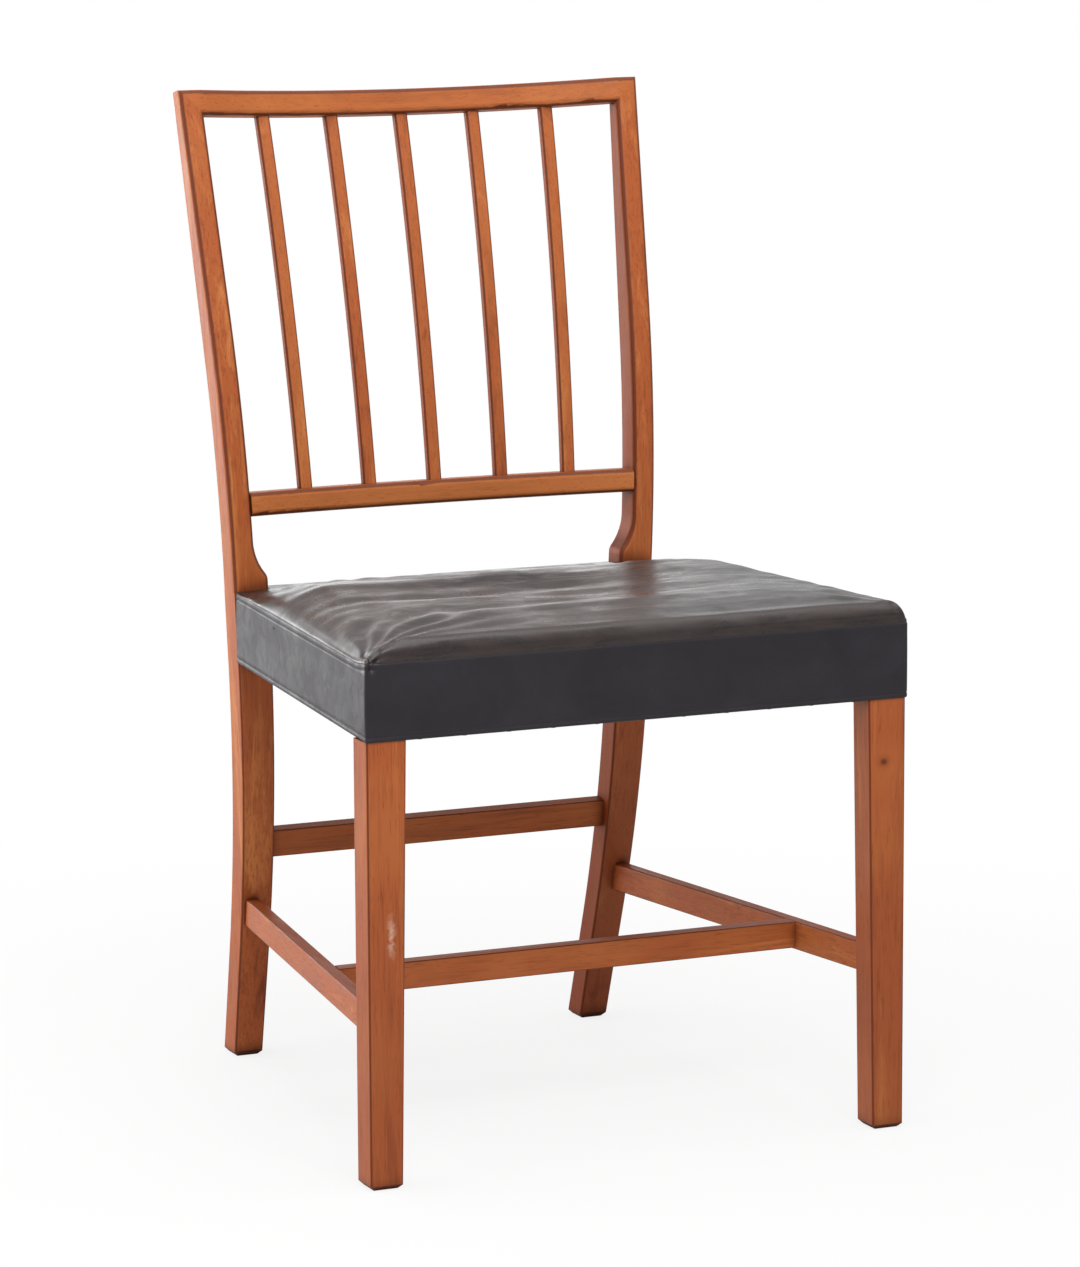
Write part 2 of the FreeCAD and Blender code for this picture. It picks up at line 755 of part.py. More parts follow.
# Seat rails, given by their outer face, the way to their inner face, thickness and heights
front_inner = front_half - leg_top_width
front_end = V(front_inner + tenon_length, leg_front, 0)
front_bar = (V(-front_end.x, front_end.y, 0), front_end, V(0, 1, 0),
             seat_rail_thickness, rail_bottom, rail_top)
back_end = V(inner_leg_x(rail_bottom) + tenon_length, frame_back, 0)
back_bar = (V(-back_end.x, back_end.y, 0), back_end, V(0, -1, 0),
            seat_rail_thickness, rail_bottom, rail_top)
side_ends = [leg_front + leg_top_depth - tenon_length, post_front + tenon_length]
side_bar = (V(half_at(side_ends[0]), side_ends[0], 0), V(half_at(side_ends[1]), side_ends[1], 0), side_in,
            seat_rail_thickness, rail_bottom, rail_top)


def seat_rail(bar, holders):
    return tenoned(plan_bar(*bar), plan_bar(*bar, shrink=tenon_shoulder), holders)


front_rail = seat_rail(front_bar, legs)
back_rail = seat_rail(back_bar, posts)
right_rail = seat_rail(side_bar, [right_leg_blank, right_post_blank])
left_rail = mirrored(right_rail)

# Stretchers
stretcher_low = side_stretcher_top - side_stretcher_height
stretcher_middle = (side_stretcher_top + stretcher_low) / 2
stretcher_front = V(front_half - side_stretcher_inset, leg_front + leg_foot_depth, 0)
stretcher_back = V(outer_x(stretcher_middle) - side_stretcher_inset, front_face.y_at(stretcher_middle), 0)
stretcher_way = (stretcher_back - stretcher_front).normalize()
stretcher_in = V(-stretcher_way.y, stretcher_way.x, 0)
stretcher_bar = (stretcher_front - stretcher_way * tenon_length,
                 stretcher_back + stretcher_way * tenon_length,
                 stretcher_in, side_stretcher_thickness, stretcher_low, side_stretcher_top)
stretcher_blank = plan_bar(*stretcher_bar)
cross_y = leg_front + cross_stretcher_set
stretcher_inner = stretcher_front + stretcher_in * side_stretcher_thickness
cross_inner = stretcher_inner.x + stretcher_way.x / stretcher_way.y * (cross_y - stretcher_inner.y)
cross_end = V(cross_inner + stub_tenon_length, cross_y, 0)
cross_bar = (V(-cross_end.x, cross_y, 0), cross_end, V(0, 1, 0), cross_stretcher_thickness,
             side_stretcher_top - cross_stretcher_height, side_stretcher_top)


def stretcher(bar, holders):
    return tenoned(eased_bar(plan_bar(*bar)), plan_bar(*bar, shrink=tenon_shoulder), holders)


def back_stretcher_bar(shrink=0.0, stretch=0.0):
    """The back stretcher's bar, square to the slope of the back legs."""
    reach = inner_leg_x(back_stretcher_top) + tenon_length + stretch
    low = V(-reach, back_stretcher_setback + shrink, shrink - back_stretcher_height)
    high = V(reach, back_stretcher_setback + back_stretcher_thickness - shrink, -shrink)
    return laid_on_posts(box(low, high), back_stretcher_top)


cross_mortise = bar_mortise(cross_bar)
right_stretcher = stretcher(stretcher_bar, [right_leg_blank, right_post_blank]).cut(cross_mortise)
cross_stretcher = stretcher(cross_bar, [stretcher_blank, mirrored(stretcher_blank)])
back_stretcher = tenoned(eased_bar(back_stretcher_bar()), back_stretcher_bar(tenon_shoulder), posts)

# Back frame
slat_places = [count - (slat_count - 1) / 2 for count in range(slat_count)]
slat_sockets = [slat(place, joint_fit) for place in slat_places]
right_mortise = laid_on_posts(lower_rail_tenon(joint_fit), lower_rail_top)
right_tongue_slot = crest_tongue(joint_fit)
right_below_mitre = mitre_waste(-1, layer_gap)
crest = laid_on_posts(crest_blank(), post_height)
crest = cut_by(crest, [right_below_mitre, mirrored(right_below_mitre), right_tongue_slot,
                       mirrored(right_tongue_slot)] + slat_sockets)
right_rail_tenon = laid_on_posts(lower_rail_tenon(), lower_rail_top)
lower_rail = laid_on_posts(lower_rail_blank(), lower_rail_top)
post_and_before = post_blank(front=waste)
lower_rail = cut_by(lower_rail, [post_and_before, mirrored(post_and_before)])
lower_rail = lower_rail.fuse([right_rail_tenon, mirrored(right_rail_tenon)]).removeSplitter()
lower_rail = cut_by(lower_rail, slat_sockets)

# Posts and legs, with the mortises that take the rails
right_post = eased_post(right_post_blank).cut(mitre_waste(1))
right_post = cut_by(right_post, [right_tongue_slot, right_mortise])
right_post = cut_by(right_post, [bar_mortise(bar) for bar in (back_bar, side_bar, stretcher_bar)])
right_post = right_post.cut(back_stretcher_bar(tenon_shoulder - joint_fit, joint_fit))
right_leg = cut_by(eased_leg(), [bar_mortise(bar) for bar in (front_bar, side_bar, stretcher_bar)])

# Corner blocks and their screws
rail_inset = seat_rail_thickness / math.cos(taper)
front_corner = V(half_at(leg_front + seat_rail_thickness) - rail_inset, leg_front + seat_rail_thickness, 0)
back_corner = V(half_at(frame_back - seat_rail_thickness) - rail_inset, frame_back - seat_rail_thickness, 0)
side_out = side_in * -1
side_front = side_back * -1
inward = V(-1, 0, 0)
front_block, front_screws, front_holes = corner_block(front_corner, inward, V(0, -1, 0), side_back, side_out)
back_block, back_screws, back_holes = corner_block(back_corner, inward, V(0, 1, 0), side_front, side_out)
front_block = cut_by(front_block, [leg_blank(joint_fit)] + front_holes)
back_block = cut_by(back_block, [post_blank(front=joint_fit, inner=joint_fit)] + back_holes)
right_screws = front_screws + back_screws
screw_holes = front_holes + back_holes
screw_holes += [mirrored(hole) for hole in screw_holes]

# Seat, from the webbing up
straps, webbing_places = webbing()
webbing_shanks = [shank(place, DOWN) for place in webbing_places]
webbing_top = rail_top + 2 * (webbing_thickness + layer_gap)
hessian_top = webbing_top + hessian_thickness
right_notch = post_blank(front=soft_fit, back=waste, outer=waste, inner=soft_fit)
notches = [mirrored(right_notch), right_notch]
hessian = cut_by(seat_slab(webbing_end_margin, webbing_top, hessian_top, arris_radius), notches)
pad_inset = soft_fit - leather_fit
pad_base = seat_slab(pad_inset, hessian_top + layer_gap, seat_seam, seat_corner_radius - pad_inset)
seat_pad = crown(pad_inset, leather_thickness + soft_fit).fuse(pad_base).removeSplitter()
seat_pad = cut_by(seat_pad, notches)
seat_top_leather = cut_by(crown(-leather_wrap, 0.0), [crown(-leather_fit, leather_thickness)] + notches)

# Leather bands, turned under the rails, and the cloth that closes the underside
cloth_top = seat_bottom - layer_gap
cloth_bottom = cloth_top - cloth_thickness
leather_places = under_tacks(leather_tack_inset, seat_bottom)
cloth_places = under_tacks(cloth_tack_inset, cloth_bottom)
leather_shanks = [shank(place, UP) for place in leather_places]
cloth_shanks = [shank(place, UP) for place in cloth_places]
flange_top = seat_bottom + leather_thickness
leg_gap = leg_blank(soft_fit).common(box(V(0, -overall_depth, 0), V(front_width, overall_depth, flange_top)))
bands = seat_slab(-leather_wrap, seat_bottom, seat_seam - layer_gap, seat_corner_radius + leather_wrap)
bands = cut_by(bands, [seat_slab(-leather_fit, flange_top, seat_seam, seat_corner_radius + leather_fit),
                       seat_slab(leather_turn_under, 0, seat_seam, arris_radius), leg_gap, mirrored(leg_gap)])
bands = cut_by(bands, notches + [group(leather_shanks), group(cloth_shanks)])
front_band, back_band = sorted(bands.Solids, key=lambda solid: solid.CenterOfMass.y)
cloth_notch = post_blank(front=cloth_clearance, back=waste, outer=waste, inner=cloth_clearance)
cloth_leg_gap = leg_blank(cloth_clearance)
bottom_cloth = cut_by(seat_slab(cloth_inset, cloth_bottom, cloth_top, arris_radius),
                      [cloth_notch, mirrored(cloth_notch), cloth_leg_gap, mirrored(cloth_leg_gap),
                       group(cloth_shanks)])

# Holes for tacks and screws in the rails, then every sub-part under its name
fixings = [group(webbing_shanks), group(leather_shanks), group(cloth_shanks), group(screw_holes)]
parts = {
    "crest_rail": crest,
    "lower_back_rail": lower_rail,
    "front_seat_rail": cut_by(front_rail, fixings),
    "back_seat_rail": cut_by(back_rail, fixings),
    "right_seat_rail": cut_by(right_rail, fixings),
    "left_seat_rail": cut_by(left_rail, fixings),
    "cross_stretcher": cross_stretcher,
    "back_stretcher": back_stretcher,
    "corner_block_screws": group(right_screws + [mirrored(screw) for screw in right_screws]),
    "webbing_tacks": group([tack(place, DOWN) for place in webbing_places]),
    "hessian": hessian,
    "seat_pad": seat_pad,
    "seat_top_leather": seat_top_leather,
    "seat_leather_band": front_band,
    "back_leather_band": back_band,
    "leather_tacks": group([tack(place, UP) for place in leather_places]),
    "bottom_cloth": bottom_cloth,
    "bottom_cloth_tacks": group([tack(place, UP) for place in cloth_places]),
}
for name, right in (("back_post", right_post), ("front_leg", right_leg), ("side_stretcher", right_stretcher),
                    ("crest_tongue", crest_tongue()), ("front_corner_block", front_block),
                    ("back_corner_block", back_block)):
    parts["right_" + name] = right
    parts["left_" + name] = mirrored(right)
for count, place in enumerate(slat_places):
    parts["back_slat_%d" % (count + 1)] = slat(place)
for name, band in straps.items():
    parts[name] = cut_by(band, [group(webbing_shanks)])

os.makedirs("parts", exist_ok=True)
for name, shape in parts.items():
    shape.exportStep("parts/%s.step" % name)
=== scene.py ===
"""A slat back chair with a leather seat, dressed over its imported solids."""

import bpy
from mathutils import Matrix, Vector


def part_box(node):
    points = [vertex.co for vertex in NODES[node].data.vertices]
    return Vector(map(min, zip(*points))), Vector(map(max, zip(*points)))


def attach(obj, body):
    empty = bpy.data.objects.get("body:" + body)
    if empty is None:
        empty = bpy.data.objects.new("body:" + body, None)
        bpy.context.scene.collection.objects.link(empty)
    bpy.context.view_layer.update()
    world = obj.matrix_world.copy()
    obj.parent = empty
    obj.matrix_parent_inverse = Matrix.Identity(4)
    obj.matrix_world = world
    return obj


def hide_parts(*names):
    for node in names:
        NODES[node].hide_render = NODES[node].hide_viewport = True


bl_info = {
    "name": "Slat Back Chair",
    "version": (1, 0, 0),
    "blender": (4, 5, 0),
    "location": "View3D > Sidebar > Chair",
    "description": "Finishes, leather seat and studio for a slat back chair",
    "category": "Object",
}

import math

import bmesh
import bpy
import numpy as np
from bpy.props import FloatProperty, FloatVectorProperty, IntProperty, PointerProperty
from mathutils import Matrix, Vector

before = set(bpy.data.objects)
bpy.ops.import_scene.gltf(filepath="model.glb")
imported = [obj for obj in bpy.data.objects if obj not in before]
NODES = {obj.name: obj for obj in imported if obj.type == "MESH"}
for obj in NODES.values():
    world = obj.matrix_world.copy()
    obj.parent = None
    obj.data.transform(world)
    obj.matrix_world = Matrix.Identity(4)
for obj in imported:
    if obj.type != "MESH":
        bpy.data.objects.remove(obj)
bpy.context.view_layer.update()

# Members grouped by the way their grain runs
UPRIGHT = ["left_back_post", "right_back_post", "left_front_leg", "right_front_leg"]
SLAT_COUNT = 5
SLATS = ["back_slat_%d" % count for count in range(1, SLAT_COUNT + 1)]
ACROSS = ["crest_rail", "lower_back_rail", "cross_stretcher", "back_stretcher"]
ALONG = ["left_side_stretcher", "right_side_stretcher"]
INNER_RAILS = ["front_seat_rail", "back_seat_rail", "left_seat_rail", "right_seat_rail",
               "left_front_corner_block", "right_front_corner_block", "left_back_corner_block",
               "right_back_corner_block", "left_crest_tongue", "right_crest_tongue"]
FIXINGS = ["corner_block_screws", "webbing_tacks", "leather_tacks", "bottom_cloth_tacks"]
STRAP_COUNT = 3
# Share of pale wood mixed into a member as painted light, where the member stands in brighter light
PAINTED_LIGHT_SHARES = {"lower_back_rail": 0.60, "crest_rail": 0.25, "back_slat_1": 0.20, "back_slat_3": 0.15,
         "back_slat_5": 0.20, "back_stretcher": 0.15}
# Sides of a member that stand in shade and are given painted shade, as directions along X
SHADED_SIDES = {"left_back_post": (1.0,), "right_back_post": (-1.0,), **{slat: (-1.0, 1.0) for slat in SLATS}}
# Painted shade: share of dark wood mixed into the low end of a leg, where the seat shades it, and the heights
# between which it comes in
LOW_SHADE_SHARES = {"left_front_leg": 0.30, "right_front_leg": 0.36, "right_back_post": 0.55}
LOW_SHADE_FROM = 0.38
LOW_SHADE_TO = 0.10
# Kind, centre, radius and stretch of each mark in the wood
MARKS = {
    "right_front_leg": [("knot", (0.2245, -0.2595, 0.3185), 0.0085, (0.8, 0.3, 0.9))],
    "left_front_leg": [("scuff", (-0.2250, -0.2595, 0.211), 0.0070, (1.2, 0.3, 0.26))],
}
SCUFF_COLOUR = (0.74, 0.50, 0.38)
GRAIN_STRETCH = 0.045
# Centre, radius and stretch of the rubbed and the dull place on the seat, and of the nick in its left band
RUBBED_PLACE = ((0.135, 0.10, 0.455), 0.075, (1.0, 0.8, 1.0))
DULL_PLACE = ((-0.005, 0.004, 0.452), 0.085, (0.65, 1.5, 1.0))
NICK_PLACE = ((-0.2165, 0.020, 0.4225), 0.0032, (0.3, 0.6, 1.5))
# Depths between which the front edge of the seat is rubbed brown
FRONT_RUB_FROM = -0.246
FRONT_RUB_TO = -0.256


# Shader helpers

class Shader:
    """Nodes of one material, added and joined in reading order."""

    def __init__(self, name):
        self.material = bpy.data.materials.new(name)
        self.material.use_nodes = True
        self.tree = self.material.node_tree
        self.tree.nodes.clear()
        self.out = self.tree.nodes.new("ShaderNodeOutputMaterial")

    def node(self, kind, inputs=None, **settings):
        made = self.tree.nodes.new("ShaderNode" + kind)
        for key, value in settings.items():
            setattr(made, key, value)
        for key, value in (inputs or {}).items():
            self.feed(made.inputs[key], value)
        return made

    def feed(self, socket, value):
        if isinstance(value, bpy.types.NodeSocket):
            self.tree.links.new(value, socket)
        elif socket.type == "RGBA" and len(value) == 3:
            socket.default_value = (*value, 1.0)
        else:
            socket.default_value = value

    def place(self, scale=(1, 1, 1), shift=(0, 0, 0)):
        """Positions on the piece in metres, stretched and moved."""
        start = self.node("TexCoord").outputs["Object"]
        return self.node("Mapping", {"Vector": start, "Scale": scale, "Location": shift}).outputs[0]

    def place_parts(self):
        """The three coordinates of a position on the piece."""
        return self.node("SeparateXYZ", {0: self.place()}).outputs

    def noise(self, where, scale, detail=3.0, rough=0.55, bend=0.0):
        return self.node("TexNoise", {"Vector": where, "Scale": scale, "Detail": detail, "Roughness": rough,
                                      "Distortion": bend}).outputs["Fac"]

    def ramp(self, value, *stops):
        """A colour or grey that follows value through (place, colour) stops."""
        made = self.node("ValToRGB", {"Fac": value})
        bar = made.color_ramp
        while len(bar.elements) < len(stops):
            bar.elements.new(0.5)
        for element, (at, colour) in zip(bar.elements, stops):
            grey = isinstance(colour, (int, float))
            element.position = at
            element.color = (colour, colour, colour, 1) if grey else (*colour, 1)
        return made.outputs["Color"]

    def math(self, operation, first, second=0.0):
        made = self.node("Math", operation=operation)
        self.feed(made.inputs[0], first)
        self.feed(made.inputs[1], second)
        return made.outputs[0]

    def mix(self, share, first, second):
        made = self.node("Mix", data_type="RGBA")
        self.feed(made.inputs[0], share)
        self.feed(made.inputs[6], first)
        self.feed(made.inputs[7], second)
        return made.outputs[2]

    def spread(self, value, low, high, to_low=0.0, to_high=1.0):
        """value from low..high carried to to_low..to_high and held there."""
        return self.node("MapRange", {"Value": value, "From Min": low, "From Max": high, "To Min": to_low,
                                      "To Max": to_high}, interpolation_type="SMOOTHSTEP").outputs[0]

    def spot(self, centre, radius, stretch):
        """1 at a point of the piece, falling to 0 at radius, which stretch divides along each axis."""
        shift = [-at * share for at, share in zip(centre, stretch)]
        where = self.place(scale=stretch, shift=shift)
        gap = self.node("VectorMath", {0: where}, operation="LENGTH").outputs["Value"]
        return self.spread(gap, 0.0, radius, 1.0, 0.0)

    def bump(self, height, strength, depth, after=None):
        inputs = {"Height": height, "Strength": strength, "Distance": depth}
        if after is not None:
            inputs["Normal"] = after
        return self.node("Bump", inputs).outputs[0]

    def principled(self, **inputs):
        made = self.node("BsdfPrincipled")
        for key, value in inputs.items():
            self.feed(made.inputs[key.replace("_", " ")], value)
        self.tree.links.new(made.outputs[0], self.out.inputs["Surface"])
        return self.material


def dress(node, material):
    """Puts a finish on every material slot of a CAD node."""
    slots = NODES[node].material_slots
    if not slots:
        NODES[node].data.materials.append(material)
    for slot in slots:
        slot.material = material


# Finishes

def shaded(colour, share):
    """A colour made darker by a share below 1, or paler by one above it."""
    return tuple(part * share for part in colour)


def show_wood(name, axis, seed, finish, marks, painted_light, low_shade, shaded_sides):
    """Oiled reddish hardwood with its grain along one axis of the chair."""
    s = Shader(name)
    long_way = [1.0, 1.0, 1.0]
    long_way[axis] = GRAIN_STRETCH
    shift = (seed * 1.37, seed * 2.11, seed * 0.73)
    where = s.place(scale=long_way, shift=shift)
    plank = s.noise(where, 26.0, 2.0, 0.5, 0.3)
    bands = s.noise(where, 120.0, 3.0, 0.6, 0.6)
    fine = s.noise(where, 520.0, 2.0, 0.6)
    pores = s.noise(where, 1500.0, 1.0, 0.5)
    cloud = s.noise(s.place(shift=shift), 9.0, 2.0, 0.5)

    deep = tuple(finish.wood_dark)
    main = tuple(finish.wood_main)
    pale = tuple(finish.wood_pale)
    figure = s.math("ADD", s.math("MULTIPLY", plank, 0.55), s.math("MULTIPLY", bands, 0.45))
    colour = s.ramp(figure, (0.32, deep), (0.45, main), (0.54, main), (0.66, pale))
    colour = s.mix(s.spread(fine, 0.48, 0.70, 0.0, 0.45), colour, deep)
    colour = s.mix(s.spread(cloud, 0.42, 0.70, 0.0, 0.30), colour, pale)
    # Painted light: pale wood mixed in where the member stands in brighter light
    colour = s.mix(painted_light, colour, pale)
    # Painted shade: the low end of a leg is darkened where the seat shades it
    if low_shade:
        shade_below = s.spread(s.place_parts()[2], LOW_SHADE_FROM, LOW_SHADE_TO, 0.0, low_shade)
        colour = s.mix(shade_below, colour, deep)
    pits = s.spread(pores, 0.62, 0.74)
    colour = s.mix(s.math("MULTIPLY", pits, 0.42), colour, shaded(deep, 0.35))

    # Rounded arrises are made darker
    normal = s.node("NewGeometry").outputs["Normal"]
    split = s.node("SeparateXYZ", {0: normal})
    sides = [s.math("ABSOLUTE", split.outputs[count]) for count in range(3)]
    flat = s.math("MAXIMUM", s.math("MAXIMUM", sides[0], sides[1]), sides[2])
    arris = s.spread(flat, 0.970, 0.83)
    # Painted shade: top faces, and the sides listed for each member, are made darker and less specular, as
    # they stand in shade
    dull_and_shade = s.spread(split.outputs[2], 0.75, 0.97)
    for way in shaded_sides:
        dull_and_shade = s.math("MAXIMUM", dull_and_shade, s.spread(s.math("MULTIPLY", split.outputs[0], way), 0.60, 0.90))
    colour = s.mix(s.math("MULTIPLY", dull_and_shade, 0.72), colour, deep)
    colour = s.mix(s.math("MULTIPLY", arris, finish.arris_dark), colour, shaded(deep, 0.55))
    # Painted shade and dirt darken tight joints and recesses
    hollow = s.node("AmbientOcclusion", {"Distance": 0.022}, samples=8).outputs["AO"]
    colour = s.mix(s.spread(hollow, 0.85, 0.42, 0.0, 0.75), colour, shaded(deep, 0.40))
    rough = s.math("ADD", s.spread(bands, 0.3, 0.7, 0.42, 0.54), s.math("MULTIPLY", pits, 0.12))
    for kind, centre, radius, stretch in marks:
        spot = s.spot(centre, radius, stretch)
        if kind == "knot":
            eye = s.spot(centre, radius * 0.45, stretch)
            colour = s.mix(s.math("MULTIPLY", spot, 0.55), colour, deep)
            colour = s.mix(s.math("MULTIPLY", eye, 0.8), colour, shaded(deep, 0.3))
        else:
            worn = s.math("MULTIPLY", spot, s.spread(s.noise(s.place(shift=shift), 160.0), 0.40, 0.62))
            colour = s.mix(s.math("MULTIPLY", worn, 0.60), colour, SCUFF_COLOUR)
            rough = s.math("ADD", rough, s.math("MULTIPLY", worn, 0.15))

    tilt = s.bump(bands, 0.10, 0.0006)
    tilt = s.bump(pits, -0.16, 0.0003, tilt)
    return s.principled(Base_Color=colour, Roughness=rough, Normal=tilt, Coat_Weight=0.03,
                        Coat_Roughness=0.30, Specular_IOR_Level=s.spread(dull_and_shade, 0.0, 1.0, 0.20, 0.07))


def plain_wood(name):
    """Sawn pale hardwood for the rails, blocks and tongues that are out of sight."""
    s = Shader(name)
    where = s.place(scale=(0.08, 1.0, 1.0))
    grain = s.noise(where, 90.0, 4.0, 0.6, 0.5)
    saw = s.noise(s.place(scale=(1.0, 0.1, 0.1)), 600.0, 1.0)
    colour = s.ramp(grain, (0.30, (0.34, 0.20, 0.095)), (0.55, (0.55, 0.36, 0.19)),
                    (0.78, (0.66, 0.47, 0.27)))
    rough = s.spread(grain, 0.3, 0.7, 0.58, 0.74)
    return s.principled(Base_Color=colour, Roughness=rough, Normal=s.bump(saw, 0.25, 0.0004))


def blued_steel(name):
    """Dark steel of tacks and screws, rubbed bright in places."""
    s = Shader(name)
    patch = s.noise(s.place(), 420.0, 4.0, 0.6)
    colour = s.ramp(patch, (0.35, (0.035, 0.034, 0.036)), (0.60, (0.10, 0.095, 0.09)),
                    (0.75, (0.20, 0.13, 0.09)))
    rough = s.spread(patch, 0.3, 0.7, 0.32, 0.58)
    return s.principled(Base_Color=colour, Roughness=rough, Metallic=1.0, Normal=s.bump(patch, 0.2, 0.0002))


def woven(name, dark, pale, pitch):
    """Plain weave of one yarn, with threads pitch metres apart."""
    s = Shader(name)
    steps = math.pi / pitch
    drift = s.noise(s.place(), 60.0, 2.0)
    wander = s.math("MULTIPLY", drift, 3.0)
    across, along, _ = s.place_parts()
    warp = s.math("SINE", s.math("ADD", s.math("MULTIPLY", across, steps), wander))
    weft = s.math("SINE", s.math("ADD", s.math("MULTIPLY", along, steps), wander))
    over = s.math("MULTIPLY", warp, weft)
    threads = s.math("MAXIMUM", s.math("ABSOLUTE", warp), s.math("ABSOLUTE", weft))
    height = s.math("ADD", s.math("MULTIPLY", over, 0.4), threads)
    slubs = s.noise(s.place(scale=(1.0, 0.15, 1.0)), 500.0, 2.0)
    shade = s.math("ADD", s.spread(height, 0.3, 1.3, 0.0, 0.7), s.math("MULTIPLY", slubs, 0.3))
    colour = s.ramp(shade, (0.15, dark), (0.80, pale))
    return s.principled(Base_Color=colour, Roughness=0.9, Normal=s.bump(height, 0.5, pitch * 0.35),
                        Specular_IOR_Level=0.2, Sheen_Weight=0.15)


def leather(name, dark, main, worn, seed, top=False):
    """Old polished hide: fine pebbled grain, fine creases, and worn paler places."""
    s = Shader(name)
    shift = (seed * 0.61, seed * 0.37, seed * 0.19)
    where = s.place(shift=shift)
    cell = s.node("TexVoronoi", {"Vector": where, "Scale": 950.0, "Randomness": 1.0},
                  feature="DISTANCE_TO_EDGE")
    pebble = s.spread(cell.outputs["Distance"], 0.02, 0.30)
    cloud = s.noise(where, 16.0, 4.0, 0.6, 0.4)
    fleck = s.noise(where, 140.0, 3.0, 0.6)
    streak = s.noise(s.place(scale=(0.35, 1.0, 1.0), shift=shift), 60.0, 4.0, 0.62, 0.8)
    colour = s.ramp(cloud, (0.34, dark), (0.55, main), (0.72, shaded(main, 1.35)))
    colour = s.mix(s.spread(fleck, 0.55, 0.75, 0.0, 0.30 if top else 0.08), colour, worn)
    low, high = (0.27, 0.39) if top else (0.40, 0.50)
    rough = s.math("ADD", s.spread(cloud, 0.3, 0.7, low, high), s.spread(streak, 0.35, 0.65, -0.05, 0.08))
    cracks = s.spread(s.math("ABSOLUTE", s.math("SUBTRACT", streak, 0.5)), 0.0, 0.02, 1.0, 0.0)
    if top:
        rub = s.math("MULTIPLY", s.spot(*RUBBED_PLACE), s.spread(cloud, 0.3, 0.55))
        colour = s.mix(s.math("MULTIPLY", rub, 0.35), colour, worn)
        dull_and_shade = s.math("MULTIPLY", s.spot(*DULL_PLACE), s.spread(streak, 0.35, 0.60))
        rough = s.math("ADD", rough, s.math("MULTIPLY", dull_and_shade, 0.26))
        near_front = s.spread(s.place_parts()[1], FRONT_RUB_FROM, FRONT_RUB_TO)
        strip = s.math("MULTIPLY", near_front, s.spread(streak, 0.30, 0.62, 0.3, 1.0))
        colour = s.mix(s.math("MULTIPLY", strip, 0.28), colour, worn)
        colour = s.mix(s.math("MULTIPLY", cracks, 0.25), colour, shaded(dark, 0.6))
    else:
        nick = s.spot(*NICK_PLACE)
        colour = s.mix(s.math("MULTIPLY", nick, 0.9), colour, shaded(dark, 0.3))
        rough = s.math("ADD", rough, s.math("MULTIPLY", nick, 0.4))
    tilt = s.bump(pebble, 0.10, 0.0004)
    tilt = s.bump(streak, 0.10 if top else 0.05, 0.0012, tilt)
    tilt = s.bump(cracks, -0.10 if top else -0.04, 0.0004, tilt)
    return s.principled(Base_Color=colour, Roughness=rough, Normal=tilt,
                        Specular_IOR_Level=0.45 if top else 0.32)


# Mesh helpers

def new_piece(name, mesh, material):
    """Links a mesh as one piece of the chair, riding on its only body."""
    piece = bpy.data.objects.new(name, mesh)
    bpy.context.scene.collection.objects.link(piece)
    piece.data.materials.clear()
    piece.data.materials.append(material)
    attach(piece, "root")
    return piece


def mesh_from(name, points, faces):
    mesh = bpy.data.meshes.new(name)
    corners = [tuple(int(index) for index in face) for face in faces]
    mesh.from_pydata([tuple(point) for point in points], [], corners)
    mesh.validate()
    mesh.update()
    return mesh


def grid_faces(rows, columns):
    """Squares of a grid whose points are numbered row by row."""
    return [(row * columns + column, row * columns + column + 1,
             (row + 1) * columns + column + 1, (row + 1) * columns + column)
            for row in range(rows - 1) for column in range(columns - 1)]


def smooth(mesh):
    mesh.polygons.foreach_set("use_smooth", [True] * len(mesh.polygons))


def face_outward(mesh):
    """Turns the faces of a mesh outward and shades it smooth."""
    work = bmesh.new()
    work.from_mesh(mesh)
    bmesh.ops.recalc_face_normals(work, faces=work.faces)
    work.to_mesh(mesh)
    work.free()
    smooth(mesh)


def settled(thing):
    """The mesh of an object as its modifiers leave it."""
    view = bpy.context.evaluated_depsgraph_get()
    shown = thing.evaluated_get(view)
    return bpy.data.meshes.new_from_object(shown, preserve_all_data_layers=False, depsgraph=view)


def points_of(mesh):
    flat = np.empty(len(mesh.vertices) * 3)
    mesh.vertices.foreach_get("co", flat)
    return flat.reshape(-1, 3)


def normals_of(mesh):
    flat = np.empty(len(mesh.vertices) * 3)
    mesh.vertex_normals.foreach_get("vector", flat)
    return flat.reshape(-1, 3)


def set_points(mesh, points):
    mesh.vertices.foreach_set("co", points.ravel())
    mesh.update()


def step(value, low, high):
    """0 at low, 1 at high, eased between, with low above high as well."""
    share = np.clip((value - low) / (high - low), 0.0, 1.0)
    return share * share * (3 - 2 * share)


def hump(value, centre, width):
    """1 at centre, falling away on both sides over about width."""
    return np.exp(-((value - centre) / width) ** 2)


RIPPLE_WAVES = 9


def ripple(x, y, seed, pitch):
    """Smooth seeded unevenness of about -1 to 1, with a typical spacing of pitch metres."""
    draw = np.random.default_rng(seed)
    total = np.zeros_like(x)
    for _ in range(RIPPLE_WAVES):
        angle = draw.uniform(0, 2 * math.pi)
        length = pitch * draw.uniform(0.7, 1.6)
        phase = draw.uniform(0, 2 * math.pi)
        total += np.sin(2 * math.pi * (x * math.cos(angle) + y * math.sin(angle)) / length + phase)
    return total / math.sqrt(RIPPLE_WAVES * 2)


# Seat

